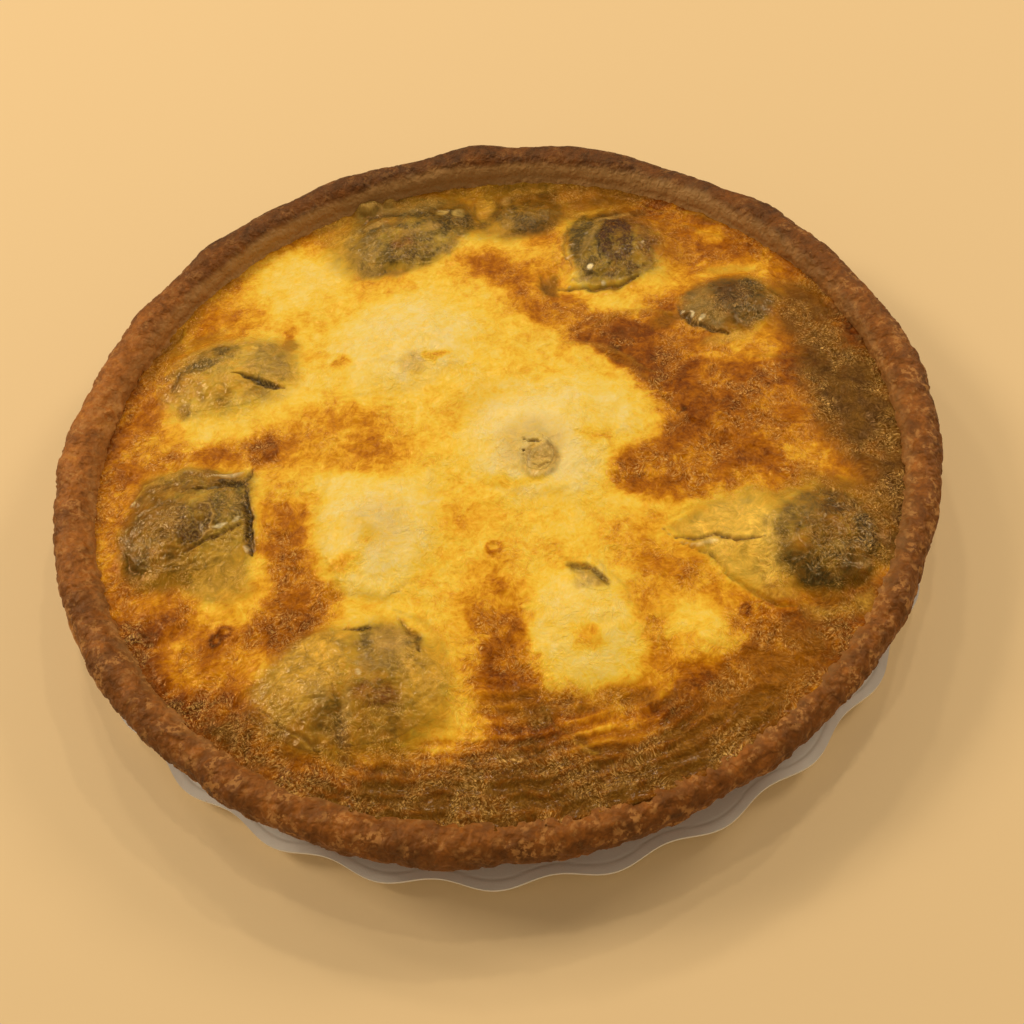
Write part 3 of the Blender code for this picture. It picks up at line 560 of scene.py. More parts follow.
# Creases and ridges: half width, height of the ridge (less than 0 for a crease), colour, amount, then x and y of
# each place that the line runs through. Ridges in the pale highlight colour are painted highlights.
creases = {
    "centre": (
        (0.5, -0.8, "black", 1, 8.6, -8.6, 10.2, -10.2, 12.6, -11.2),
        (0.4, -0.6, "black", 0.9, 7.4, -11.9, 8.4, -12.9),
        (0.6, 0.4, "pearl", 0.6, 7.5, -14, 8.4, -18, 11, -20, 14.6, -18.6, 16.2, -14.6),
        (0.4, -0.3, "umber", 0.4, 9.5, -16.4, 11, -17.6, 13.5, -16.8),
    ),
    "leftBack": (
        (0.8, -0.8, "black", 0.9, -63, 26.7, -58, 25.4, -54.5, 23.2, -51.5, 21.8, -49.6, 21),
        (0.6, -0.3, "umber", 0.5, -80, 25, -78, 28, -77, 30), (1.4, -0.6, "umber", 0.4, -86, 40, -82, 44, -78, 50),
    ),
    "left": (
        (0.8, -0.8, "black", 0.7, -71, -8.8, -66, -9.2, -61, -8.6, -58.6, -6.8, -57, -4.4),
        (0.7, -0.9, "black", 0.9, -58.8, -8, -58, -14, -57.2, -20, -56.8, -25, -56.6, -29),
        (0.6, -0.4, "umber", 0.7, -72, -26.8, -68, -25.6, -63, -23, -59, -20.8),
        (0.4, 0.3, "beige", 0.7, -70.5, -14, -66.5, -14, -65.2, -18, -65.4, -22, -68.5, -25.4),
        # the pale straw colour of this ridge along the oyster's top edge is a painted highlight
        (0.9, 0.35, "straw", 0.6, -86, -10, -83, -4, -78, -1.8, -73, -1.6, -69, -3.4),
        (0.5, 0.3, "paintedHighlight", 0.5, -68, -5.2, -63, -5.4, -59, -4.4),
        (1, -0.4, "moss", 0.6, -87, -23, -85, -28, -81, -31),
    ),
    "frontLeft": (
        (0.6, -0.6, "black", 0.8, -35.5, -52, -33, -52.8, -30, -53.2),
        (0.6, -0.6, "umber", 0.5, -26, -50.8, -23, -53, -20.6, -57, -19.8, -61),
        (0.9, 0.3, "gold", 0.4, -25, -49.4, -19, -53, -15.4, -60, -14.6, -66),
        (0.8, -0.4, "umber", 0.5, -53, -69, -47, -75, -40, -80, -34, -83),
        (0.5, 0.35, "gold", 0.35, -51, -71.5, -44, -77.6, -36, -82.6),
        (0.8, -0.35, "moss", 0.3, -37.6, -66, -36.4, -72, -37.4, -80),
    ),
    "frontRight": (
        (0.36, -0.6, "umber", 0.9, 36.2, -38.4, 37, -40.6, 40, -42, 45, -43, 50, -44.6, 56, -45.4),
        (0.4, 0.25, "paintedHighlight", 0.5, 38, -42.6, 43, -43.9, 47, -45),
        (0.5, -0.45, "umber", 0.6, 39, -43, 43.6, -46.6, 48, -54.6, 53, -60, 60, -63),
        (0.9, -0.3, "umber", 0.2, 37, -36, 48, -31.6, 60, -27.6),
        (0.9, -0.3, "moss", 0.4, 83, -41, 84.4, -48, 80, -55, 72, -60),
    ),
    "backRight": (
        (0.9, -0.6, "umber", 0.8, 24, 43, 29, 43, 34, 41.2, 40, 40.4, 46, 43),
        (1.2, -0.4, "umber", 0.6, 20, 50, 20.4, 44, 24, 40.5), (0.8, 0.35, "ash", 0.6, 31, 48, 34.6, 56, 38.4, 66),
        (0.5, -0.4, "black", 0.4, 37, 50, 37.4, 60, 41, 67), (0.7, -0.4, "moss", 0.5, 28.5, 50, 28, 58, 30, 68),
    ),
    "right": (
        (0.7, -0.8, "black", 0.85, 53.8, 30, 54.4, 26.4, 57, 22.4, 60, 19.6, 64, 17.6),
        (0.5, -0.3, "umber", 0.5, 49.6, 29, 53, 26, 57, 23.2), (1, -0.4, "umber", 0.4, 84, 34, 90, 30, 94, 24),
        (0.8, -0.3, "umber", 0.35, 66, 9, 74, 7.4, 82, 6),
    ),
    "back": (
        (0.8, -0.6, "black", 0.6, -28, 82, -25, 85, -20, 86, -16, 84),
        (0.6, 0.3, "ash", 0.4, -12, 86, -8, 80, -7, 73), (0.8, -0.4, "moss", 0.5, 5.4, 86, 5, 81, 7, 76),
        (0.8, 0.3, "gold", 0.4, 2, 92, 14, 93, 26, 91),
    ),
    "custard": (
        (2, -0.14, "glaze", 0.12, -38, -8, -41.6, -20, -40, -35, -36, -43, -27, -46),
        (0.8, -0.14, "glaze", 0.2, -40, -33, -36, -43, -27, -46.4, -19, -42),
        (2, -0.14, "glaze", 0.1, -27, -46, -19, -42, -15.4, -34, -13.8, -20, -14.4, -12),
        (1.4, -0.14, "glaze", 0.14, -5.2, -16, 0, -20.6, 8, -24.4, 17, -24.6),
        (2.2, -0.12, "glaze", 0.1, -34, 15, -24, 14.6, -16, 15.4, -4, 21),
        (0.6, 0.2, "glaze", 0.3, 12, -42.6, 19, -43, 24, -51.6, 26.4, -60),
        (0.6, -0.4, "moss", 0.5, 13, -44.4, 15.4, -46, 18.6, -47, 21.6, -51.6),
        (1, 0.35, "gold", 0.35, 44, 8, 40, 12, 36, 17, 30, 21, 22, 24),
        (1, -0.3, "umber", 0.3, 46, -6, 43, 3, 38, 12, 32, 18),
        (1, 0.3, "gold", 0.35, 30, 28, 38, 31, 46, 31, 52, 28), (0.6, -0.3, "umber", 0.4, 5, -80, 9, -84, 14, -89),
        # the gold colour of this ridge is a painted highlight along the fold's crest
        (0.4, 0.3, "gold", 0.6, 6.6, -83.6, 10, -86, 13, -88),
        (0.9, 0.35, "gold", 0.4, 48, 77, 58, 70, 66, 67, 74, 60), (0.8, 0.3, "gold", 0.3, 56, 66, 64, 62, 72, 55),
    ),
}

# Burst bubbles: x, y, radius, height of the ring
bubbles = ((-1.7, -37, 1.6, 0.4), (48.4, -61.4, 1.1, 0.35), (-61.5, -48, 1.3, 0.25), (-64, -50, 1.0, 0.2))

# Browning before the zones are painted, and the clouds and specks over them
bakeLook = {
    "middle": 0.3, "edge": 0.32,
    "edgeFrom": 66, "edgeTo": 94,
    "zoneSoftness": 1.5,
    "cloudSize": 9, "cloud": 0.16,
    "speckSize": 2.1, "speck": 0.06,
    # strands and bands make the crests paler and the valleys darker: partly the skin's browning, partly painted light
    # and shade
    "strands": 0.24, "bands": 0.26, "fine": 0.1, "patches": 0.07,  # how much the relief changes it
    "wall": 0.1,
}

# How thick the tints lie, and what gills and moss add
tintLook = {
    "usual": 0.82, "varied": 0.6, "size": 4.5, "least": 0.1, "most": 1.1,
    "gills": 0.6,
    "moss": 0.35, "mossSize": 3,
}

# The skin's own relief, in millimetres
skinRelief = {
    # how browning, flesh and grain wander, as rows for wander()
    "bakeWander": ((1.6, 14, 3, 1, 8), (2.8, 5, 4, 4, 11)),
    "fleshWander": ((1.7, 5, 4, 15, 20),),
    "grainWander": ((2.0, 7, 3, 4, 11), (0.7, 2.6, 2, 17, 19)),
    "swellSize": 15, "swell": 0.24,
    "lumpSize": 5.5, "lump": 0.4,
    "foldSize": 8, "fold": 0.55, "paleFold": 0.4,  # soft folds all over, lower where the skin is pale
    "strandSize": 3.4, "strand": 0.6,  # curled strands of browned skin
    "fineSize": 1.7, "fine": 0.32,
    "frontFrom": 60, "frontTo": 84, "frontSpread": 0.3,
    "bandSize": 3.0, "band": 0.5,  # folds that run round the front
    "bandShifts": ((2.6, 16, 90), (1.1, 5, 92)),  # shift, size and seed of the noise that moves them
    "bandPatchSize": 8, "bandUsual": 0.7, "bandVaried": 0.9,
    "patchSize": 9,
    "paleCrinkle": 0.45, "calmCrinkle": 0.12,  # how crinkled pale skin is, and the skin between the patches
    "smoothBack": 0.5, "smoothFlesh": 0.2, "smoothFront": 0.7,
    "fleshSize": 5, "flesh": 0.7,
    "foot": 0.4,  # softness of the oysters' outline
    "outsideShare": -0.14, "insideShare": 0.1,  # where the flesh begins to show and shows fully
    "gillSize": 2.2, "gill": 0.8, "gillRound": 0.8,
    "smoothBody": (42, 58.5, 5.5, 10.5, -14, 0.3),  # the dark body of the back right oyster
    "bodySmoothness": 0.9,
    # the frill of the back oyster that has climbed the case's wall: share, place, edge
    "frills": ((1.0, -26, 89.5, 3.6, 2.2, 0, 0.5), (0.5, -19.5, 91, 1.6, 1.5, 0, 0.5)),
    "frill": 2.2,
    "creep": 0.4, "creepBack": 0.35, "creepWidth": 1.4,  # where the custard creeps up the case's wall
    "wetFlesh": 0.4, "wetFront": 0.3,
}

creaseLook = {
    "endWidth": 0.25,  # share of the width at a crease's ends
    "taper": 1.5,
    "lip": 0.15,
    "deep": -0.5,  # deeper creases are shaded and wet
    "shade": 0.35, "shadeWidth": 2, "wetWidth": 2.5,
}

bubbleLook = {"ringWidth": 0.4, "dent": 0.6, "brown": 0.28, "brownWidth": 0.5}


def creep(angle):
    return skinRelief["creep"] + skinRelief["creepBack"] * np.sin(angle)


def paintBake(x, y, flat):
    look = bakeLook
    bake = look["middle"] + look["edge"] * rise(np.hypot(x, y), look["edgeFrom"], look["edgeTo"])
    for soft, level, *outline in itertools.chain(*bakeZones.values()):
        share = inside(x, y, pairs(outline), look["zoneSoftness"] * soft)
        bake = bake * (1 - share) + level * share
    for *place, edge, level in bakeSpots:
        share = spot(x, y, *place, edge)
        bake = bake * (1 - share) + level * share
    bake = bake + look["cloud"] * clouds(flat, look["cloudSize"], 21)
    return bake + look["speck"] * noise(flat, look["speckSize"], 24)


def mixTint(tint, share, colour):
    share = np.clip(share, 0, 1)[:, None]
    paint = np.array([*screen(*fleshColours[colour]), 1.0])
    tint[:] = tint * (1 - share) + paint * share


def paintFlesh(x, y, flat):
    tint = np.tile([*screen(*fleshColours["olive"]), 0.0], (len(x), 1))
    look = tintLook
    thickness = look["usual"] + look["varied"] * clouds(flat, look["size"], 96, 4)
    thickness = np.clip(thickness, look["least"], look["most"])
    for soft, colour, amount, *outline in itertools.chain(*fleshZones.values()):
        mixTint(tint, inside(x, y, pairs(outline), soft) * amount * thickness, colour)
    for *place, edge, colour, amount in itertools.chain(*fleshSpots.values()):
        mixTint(tint, spot(x, y, *place, edge) * amount * thickness, colour)
    return tint


# Radius at which the skin meets the case
def skinEdge(angle):
    z = np.full_like(angle, tart["edgeZ"])
    for _ in range(4):
        radius = innerWall(angle, z)
        z = custardZ(radius * np.cos(angle), radius * np.sin(angle)) + creep(angle)
    return radius


# Raises the oysters and their gills from the custard, and gives the share of flesh that shows
def raiseOysters(x, y, z, tint):
    look = skinRelief
    flesh = np.zeros_like(x)
    for oyster in oysters.values():
        share, around = oysterPolar(x, y, oyster)
        dome = (oyster.rise + tart["tuck"]) * np.sqrt(np.maximum(1 - share**2, 0)) - tart["tuck"]
        z = z + look["foot"] * np.log1p(np.exp(dome / look["foot"]))
        shown = rise(shownShare(oyster) - share, look["outsideShare"], look["insideShare"]) * tint[:, 3]
        flesh = np.maximum(flesh, shown)
        # gills that run round the oyster
        middle, stretch = middleReach(oyster), math.sqrt(oyster.gillStretch)
        wound = points(around * middle * look["gillRound"] / stretch, share * middle * stretch, oyster.x)
        ribs = evenFolds(wound, look["gillSize"], 93)
        ribbed = shown * oyster.gills
        z = z + ribbed * look["gill"] * ribs
        mixTint(tint, ribbed * tintLook["gills"] * rise(ribs, 0.12, 0.45), "pearl")
        mixTint(tint, ribbed * tintLook["gills"] * rise(-ribs, 0.1, 0.4), "moss")
    return z, flesh


def addCreases(x, y, z, tint, wet):
    look = creaseLook
    for halfWidth, height, colour, amount, *line in itertools.chain(*creases.values()):
        away, along = nearLine(x, y, pairs(line))
        width = halfWidth * fromLow(look["endWidth"], np.sin(np.pi * along ** look["taper"]))
        core = bell(away / width)
        z = z + height * core - look["lip"] * height * bell(away / width - 2)
        # painted shade round the deeper creases
        if height < look["deep"]:
            mixTint(tint, bell(away / width / look["shadeWidth"]) * amount * look["shade"], "umber")
            wet = np.maximum(wet, bell(away / width / look["wetWidth"]) * amount)
        mixTint(tint, core * amount, colour)
    return z, wet


def addBubbles(x, y, z, bake):
    look = bubbleLook
    for midX, midY, bubble, height in bubbles:
        away = np.hypot(x - midX, y - midY)
        dent = height * look["dent"] * np.exp(-((away / bubble) ** 4))
        z = z + height * bell((away - bubble) / look["ringWidth"]) - dent
        bake = bake + look["brown"] * bell((away - bubble) / look["brownWidth"])
    return z, bake


# Everything that shows on the filling at some places: height, browning, tint and how wrinkled it is
def skinAt(x, y):
    look = skinRelief
    flat = points(x, y, 0)
    angle, radius = np.arctan2(y, x), np.hypot(x, y)
    bakeX, bakeY = wander(x, y, look["bakeWander"])
    curled = points(bakeX, bakeY, 0)
    nearX, nearY = wander(x, y, look["fleshWander"])
    bake = paintBake(bakeX, bakeY, flat)
    tint = paintFlesh(nearX, nearY, flat)
    z, flesh = raiseOysters(nearX, nearY, custardZ(x, y), tint)
    mossy = rise(clouds(curled, tintLook["mossSize"], 84), 0.05, 0.5)
    mixTint(tint, flesh * tintLook["moss"] * mossy, "moss")

    # relief of the skin
    z = z + look["swell"] * clouds(flat, look["swellSize"], 31) + look["lump"] * clouds(flat, look["lumpSize"], 34)
    z = z + look["flesh"] * flesh * clouds(curled, look["fleshSize"], 99)
    z = z + look["fold"] * evenFolds(curled, look["foldSize"], 87) * fromLow(look["paleFold"], rise(bake, 0.2, 0.6))
    patches = rise(clouds(curled, look["patchSize"], 37), -0.12, 0.14)
    browned = np.maximum(rise(bake, 0.26, 0.62), 0.6 * flesh)
    crinkle = fromLow(look["paleCrinkle"], browned) * fromLow(look["calmCrinkle"], patches)
    crinkle = crinkle * (1 - look["smoothBack"] * rise(y, 20, 70)) * (1 - look["smoothFlesh"] * flesh)
    crinkle = crinkle * (1 - look["bodySmoothness"] * spot(nearX, nearY, *look["smoothBody"]))
    bake = bake + bakeLook["patches"] * browned * (0.5 - patches)
    strands, fine = evenFolds(curled, look["strandSize"], 41), evenFolds(curled, look["fineSize"], 44)
    # folds that run round the front
    front = rise(-y - look["frontSpread"] * abs(x), look["frontFrom"], look["frontTo"])
    shifted = radius
    for shift, size, seed in look["bandShifts"]:
        shifted = shifted + shift * clouds(flat, size, seed)
    wave = 0.5 + 0.5 * np.sin(math.tau * shifted / look["bandSize"])
    varied = look["bandUsual"] + look["bandVaried"] * clouds(flat, look["bandPatchSize"], 95)
    bands = (wave**2 - 0.375) * varied  # 0.375 is the mean of the squares
    z = z + crinkle * (1 - look["smoothFront"] * front) * (look["strand"] * strands + look["fine"] * fine)
    z = z + front * browned * look["band"] * bands
    # paler crests and darker valleys: partly the skin's browning, partly painted light and shade
    bake = bake - bakeLook["strands"] * crinkle * strands
    bake = bake - bakeLook["bands"] * front * browned * bands + bakeLook["fine"] * fine
    wet = np.maximum(look["wetFlesh"] * flesh, look["wetFront"] * front * browned)
    z, wet = addCreases(nearX, nearY, z, tint, wet)
    z, bake = addBubbles(nearX, nearY, z, bake)

    # where it meets the case
    climb = np.exp(-(np.maximum(skinEdge(angle) - radius, 0) / look["creepWidth"]) ** 1.5)
    z = z + climb * (creep(angle) - 0.3 * crinkle * strands)
    # darker where the skin climbs the case at the back and sides: partly browning, partly painted shade between skin
    # and wall
    bake = bake + bakeLook["wall"] * climb * rise(y, -40, 20)
    frill = sum(share * spot(nearX, nearY, *place) for share, *place in look["frills"])
    z = z + look["frill"] * frill
    mixTint(tint, frill * 0.9, "ash")
    # the fine grain curls along the skin's wrinkles
    flow = points(*wander(x, y, look["grainWander"]), 0) * mm
    return {"z": z, "bake": np.clip(bake, 0, 1), "tint": tint, "crinkle": crinkle, "wet": wet, "flow": flow}


# Meshes


def newMesh(name, places, faces):
    mesh = bpy.data.meshes.new(name)
    mesh.from_pydata((np.asarray(places) * mm).tolist(), [], faces)
    shape = bmesh.new()
    shape.from_mesh(mesh)
    bmesh.ops.recalc_face_normals(shape, faces=shape.faces)
    shape.to_mesh(mesh)
    shape.free()
    mesh.shade_smooth()
    return mesh


def addObject(name, data):
    made = bpy.data.objects.new(name, data)
    bpy.context.scene.collection.objects.link(made)
    return made


# Makes a mesh a piece of the tart that stands for one of the solids
def addPiece(mesh, material, node):
    mesh.materials.append(material)
    piece = addObject(mesh.name, mesh)
    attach(piece, "root")
    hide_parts(node)


# Stores a number, a vector or a colour for each point, and one value for all the last points, which don't show
def storeValues(mesh, name, values, hidden):
    rest = len(mesh.vertices) - len(values)
    values = np.concatenate([values, np.repeat([hidden], rest, axis=0)])
    width = 1 if values.ndim == 1 else values.shape[1]
    kind, field = {1: ("FLOAT", "value"), 3: ("FLOAT_VECTOR", "vector"), 4: ("FLOAT_COLOR", "color")}[width]
    mesh.attributes.new(name, kind, "POINT").data.foreach_set(field, np.float32(values).ravel())


def storeSkin(mesh, skin):
    tint = skin["tint"]
    for name, values, hidden in (
        ("bake", skin["bake"], 0.4), ("tint", tint, tint[0]), ("tintAmount", tint[:, 3], tint[0, 3]),
        ("crinkle", skin["crinkle"], 0.0), ("wet", skin["wet"], 0.0), ("flow", skin["flow"], np.zeros(3)),
    ):
        storeValues(mesh, name, values, hidden)


# Points of a disc as rings of 6, 12, 18... points: the ring's share of the radius, and the angle
def discPoints(rings):
    shares, angles = [np.zeros(1)], [np.zeros(1)]
    for ring in range(1, rings + 1):
        shares.append(np.full(6 * ring, ring / rings))
        angles.append(math.tau * np.arange(6 * ring) / (6 * ring))
    return np.concatenate(shares), np.concatenate(angles)


# The number of the first point in one of these rings
def ringStart(ring):
    return 1 + 3 * ring * (ring - 1) if ring else 0


def discFaces(rings):
    faces = []
    for ring in range(1, rings + 1):
        outer, inner = ringStart(ring), ringStart(ring - 1)
        outerCount, innerCount = 6 * ring, max(6 * (ring - 1), 1)
        for sector, i in itertools.product(range(6), range(ring)):
            a = outer + sector * ring + i
            b = outer + (sector * ring + i + 1) % outerCount
            c = inner + (sector * (ring - 1) + i) % innerCount
            faces.append((a, b, c))
            if i < ring - 1:
                faces.append((b, inner + (sector * (ring - 1) + i + 1) % innerCount, c))
    return faces


# Quads between two rings of the same number of points
def bandFaces(first, second, count):
    return [(first + i, first + (i + 1) % count, second + (i + 1) % count, second + i) for i in range(count)]


# Triangles between a ring and one point
def fanFaces(ring, tip, count):
    return [(ring + i, ring + (i + 1) % count, tip) for i in range(count)]


# Faces of rings one after the other, closed at each end by one of the two points that follow the rings
def closedRings(rings, count):
    faces, last, ends = [], (rings - 1) * count, rings * count
    for start in range(0, last, count):
        faces += bandFaces(start, start + count, count)
    return faces + fanFaces(0, ends, count) + fanFaces(last, ends + 1, count)


# Closes a disc from below by more rings of points, each as long as the disc's edge, and a last point
def closeDisc(name, disc, rings, lowerRows, lowerTip):
    count, edge = 6 * rings, ringStart(rings)
    faces = discFaces(rings)
    for row in range(len(lowerRows)):
        faces += bandFaces(edge + count * row, edge + count * (row + 1), count)
    last = edge + count * len(lowerRows)
    faces += fanFaces(last, last + count, count)
    return newMesh(name, np.vstack([disc, *lowerRows, [lowerTip]]), faces)


custardPiece = {
    "rings": 176,
    "intoCase": 1.1,  # how far its edge goes into the case, so that no gap shows
    "bottomZ": 5.2,
    "sideDepths": (0.25, 0.6, 1.0),
    "sideGap": 0.1,
    "pocketStart": 1.0,  # how far inside an oyster's outline its pocket starts
    "pocketEnd": 2.2,
    "pocketGap": 0.35,
}


def makeCustard(material):
    look = custardPiece
    shares, angles = discPoints(look["rings"])
    radius = shares * (skinEdge(angles) + look["intoCase"])
    x, y = radius * np.cos(angles), radius * np.sin(angles)
    skin = skinAt(x, y)
    z = skin["z"]
    for oyster in oysters.values():
        share, _ = oysterPolar(x, y, oyster)
        within = (shownShare(oyster) - share) * middleReach(oyster)
        pocket = custardZ(x, y) - tart["tuck"]
        pocket = pocket - (oyster.depth + look["pocketGap"]) * np.sqrt(np.maximum(1 - share**2, 0))
        sunk = rise(within, look["pocketStart"], look["pocketEnd"])
        z = z * (1 - sunk) + pocket * sunk
    rim = 6 * look["rings"]
    rimAngles, rimZ = angles[-rim:], z[-rim:]
    rows = []
    for depth in look["sideDepths"]:
        rowZ = rimZ * (1 - depth) + look["bottomZ"] * depth
        rows.append(roundPoints(innerWall(rimAngles, rowZ) - look["sideGap"], rimAngles, rowZ))
    mesh = closeDisc("custard_filling", points(x, y, z), look["rings"], rows, (0, 0, look["bottomZ"]))
    storeSkin(mesh, skin)
    addPiece(mesh, material, "custard")


oysterPiece = {
    "rings": 54,
    "tipRings": 26,
    "tipLength": 12,  # oysters up to this half length have fewer rings
    "lift": 0.06,  # how far an oyster stands over the skin at its outline
    "dip": 0.9,  # width of the edge that dips under the custard
    "undersideTilts": (90, 115, 140, 160),
}


def makeOyster(node, oyster, material):
    look = oysterPiece
    rings = look["rings"] if oyster.halfLength > look["tipLength"] else look["tipRings"]
    shown, middle = shownShare(oyster), middleReach(oyster)
    top = shown + look["dip"] / middle
    shares, angles = discPoints(rings)
    turn = math.radians(oyster.turn)

    def place(share, angle):
        reach = share * ruffledReach(angle, oyster)
        along, across = oyster.halfLength * reach * np.cos(angle), oyster.halfWidth * reach * np.sin(angle)
        x = oyster.x + along * math.cos(turn) - across * math.sin(turn)
        return x, oyster.y + along * math.sin(turn) + across * math.cos(turn)

    x, y = place(shares * top, angles)
    skin = skinAt(x, y)
    outside = (shares * top - shown) * middle
    z = skin["z"] + look["lift"] - (tart["tuck"] + look["lift"]) * rise(outside, 0, look["dip"])
    rows = []
    for tilt in np.radians(look["undersideTilts"]):
        rowX, rowY = place(math.sin(tilt), angles[-6 * rings:])
        rows.append(points(rowX, rowY, custardZ(rowX, rowY) - tart["tuck"] + oyster.depth * math.cos(tilt)))
    tip = (oyster.x, oyster.y, custardZ(oyster.x, oyster.y) - tart["tuck"] - oyster.depth)
    mesh = closeDisc(node + "_flesh", points(x, y, z), rings, rows, tip)
    storeSkin(mesh, skin)
    addPiece(mesh, material, node)


crustPiece = {
    "sides": 1260,
    "middleShare": 0.6,  # the flat middles' first ring, as a share of their radius
    "outerRows": 21,
    "rollStart": -45, "rollRows": 40,
    "innerRows": (18.6, 18.2, 17.8, 17.4, 17.0, 16.5, 16.0, 15.4, 14.6, 13.0, 10.0, 7.0),
    "lumpSize": 8, "lump": 0.34,
    "flakeSize": 2.6, "flake": 0.36,
    "pitSize": 1.4, "pit": 0.24,
    "crackSize": 7, "crack": 0.3,
    "smoothBack": 0.55,  # how much smoother the back of the rim is
    "toast": 0.6, "lumpToast": 0.2, "backToast": 0.25, "undersideToast": -0.3, "outerToast": 0.15,
    "greasedZ": 23.4, "greased": 0.35,  # the height up to which the inside is greased, and how much at the front
    "drip": (-157, 3.6, 17.2, 3.0, 1.0),  # a run of custard outside: degrees, width, height, half height, thickness
    "bubbly": (168, 2.6, 1.1),  # a bubbly patch inside: degrees, width, height
    "pale": (162, 30, 0.26),  # the paler left: degrees, width, amount
}


# Rings of the case's profile as radius, height and how rough they are: underside, outer wall, roll of the rim,
# inner wall, floor
def crustProfile(angles):
    look = crustPiece
    half, ring, level = rimHalf(angles), rimRing(angles), np.ones_like(angles)
    baseRadius, heelRadius, heelZ = (tart[name] for name in ("caseBaseRadius", "caseHeelRadius", "caseHeelZ"))
    rows = [(baseRadius * look["middleShare"], tart["caseZ"], 0), (baseRadius, tart["caseZ"], 0)]
    rows.append((heelRadius, heelZ, 0.4))
    rollStart = math.radians(look["rollStart"])
    startRadius, startZ = ring + half * math.cos(rollStart), tart["rimZ"] + half * math.sin(rollStart)
    for share in np.arange(1, look["outerRows"] + 1) / (look["outerRows"] + 1):
        rows.append((heelRadius * (1 - share) + startRadius * share, heelZ * (1 - share) + startZ * share, 1))
    for degrees in np.linspace(look["rollStart"], 180, look["rollRows"]):
        turn = math.radians(degrees)
        rows.append((ring + half * math.cos(turn), tart["rimZ"] + half * math.sin(turn), 1))
    rows += [(innerWall(angles, z * level), z, 1 if z > 15 else 0.2) for z in look["innerRows"]]
    rows.append((tart["floorRadius"], tart["floorZ"], 0))
    rows.append((tart["floorRadius"] * look["middleShare"], tart["floorZ"], 0))
    return [[value * level for value in row] for row in rows]


def makeCrust(material):
    look = crustPiece
    angles = math.tau * np.arange(look["sides"]) / look["sides"]
    rows = crustProfile(angles)
    radius, z, amount = (np.stack(values) for values in zip(*rows))
    # the direction that each point is moved in is square to the profile
    alongRadius, alongZ = np.gradient(radius, axis=0), np.gradient(z, axis=0)
    length = np.hypot(alongRadius, alongZ) + 1e-9
    outRadius, outZ = (alongZ / length).ravel(), (-alongRadius / length).ravel()
    radius, z, amount, angle = radius.ravel(), z.ravel(), amount.ravel(), np.tile(angles, len(rows))
    places = roundPoints(radius, angle, z)

    back = rise(np.sin(angle), 0.2, 0.85)
    inner = rise(rimRing(angle) - radius, -1, 3) * rise(z, 12, 16)
    outer = rise(radius - rimRing(angle), 0, 2)
    rough = 1 - look["smoothBack"] * back
    lumps = clouds(places, look["lumpSize"], 51)
    flakes = 0.5 * clouds(places, look["flakeSize"], 54) + rise(clouds(places, look["flakeSize"], 82), -0.1, 0.12)
    pits = rise(noise(places, look["pitSize"], 57), 0.25, 0.75)
    cracked = rise(folds(places, look["crackSize"], 60, 1), 0.9, 0.99) * rise(clouds(places, 20, 63), -0.1, 0.3)
    move = look["lump"] * lumps + rough * (look["flake"] * flakes - look["pit"] * pits - look["crack"] * cracked)
    degrees, width, height, half, thickness = look["drip"]
    drip = rise(1.3 - np.hypot(degreesFrom(angle, degrees) / width, (z - height) / half) + 0.3 * lumps, 0, 0.8) * outer
    move = move * (1 - drip) + thickness * drip
    degrees, width, height = look["bubbly"]
    bubbly = inner * rise(z, 18, 19.5) * bell(degreesFrom(angle, degrees) / width)
    move = move + height * bubbly * rise(noise(places, 2.2, 66), -0.2, 0.6)

    radius, z = radius + outRadius * move * amount, z + outZ * move * amount
    mesh = newMesh(
        "pastry_crust",
        np.vstack([roundPoints(radius, angle, z), [(0, 0, tart["caseZ"]), (0, 0, tart["floorZ"])]]),
        closedRings(len(rows), look["sides"]),
    )

    toast = look["toast"] + look["lumpToast"] * lumps + look["backToast"] * back
    toast = toast + look["undersideToast"] * (1 - rise(z, 3, 14)) * outer
    toast = toast + look["outerToast"] * rise(radius - rimRing(angle), 0, 5)
    degrees, width, paleness = look["pale"]
    toast = toast - paleness * bell(degreesFrom(angle, degrees) / width)
    flecks = rise(clouds(places, 2.6, 69, 4), -0.02, 0.16) * rise(clouds(places, 9, 79), -0.35, 0.1)
    flecks = flecks * (1 - 0.6 * back)
    greased = inner * rise(look["greasedZ"] - z + 1.2 * lumps, 0, 1.6) * fromLow(look["greased"], back)
    shares = {"toast": toast, "fleck": flecks + cracked * 0.8 + bubbly, "greased": greased, "drip": drip}
    for name, share in shares.items():
        storeValues(mesh, name, np.clip(share, 0, 1), 0.0)
    addPiece(mesh, material, "pastry_case")


trayPiece = {
    "card": 0.9,
    "flatRadius": 91.0,
    "middleShare": 0.5,  # the flat middle's first ring, as a share of its radius
    "bendRadius": 94.5,
    "bendRise": 0.9,
    "notchRadius": 104.4,
    "lobeRadius": 106.5,
    "edgeZ": 5.3,
    "scallops": 28,
    "firstNotch": math.radians(-89.4),
    "stepsPerScallop": 36,
    "flareRows": 30,
    "bandWidth": 2.1,  # from the edge to the embossed line
    "bandNoise": 0.25,
    "lineDepth": 0.1,
    "lineWidth": 0.22,
    "crimp": 0.05,
    "warp": 0.25,
    "sharp": math.radians(50),
}


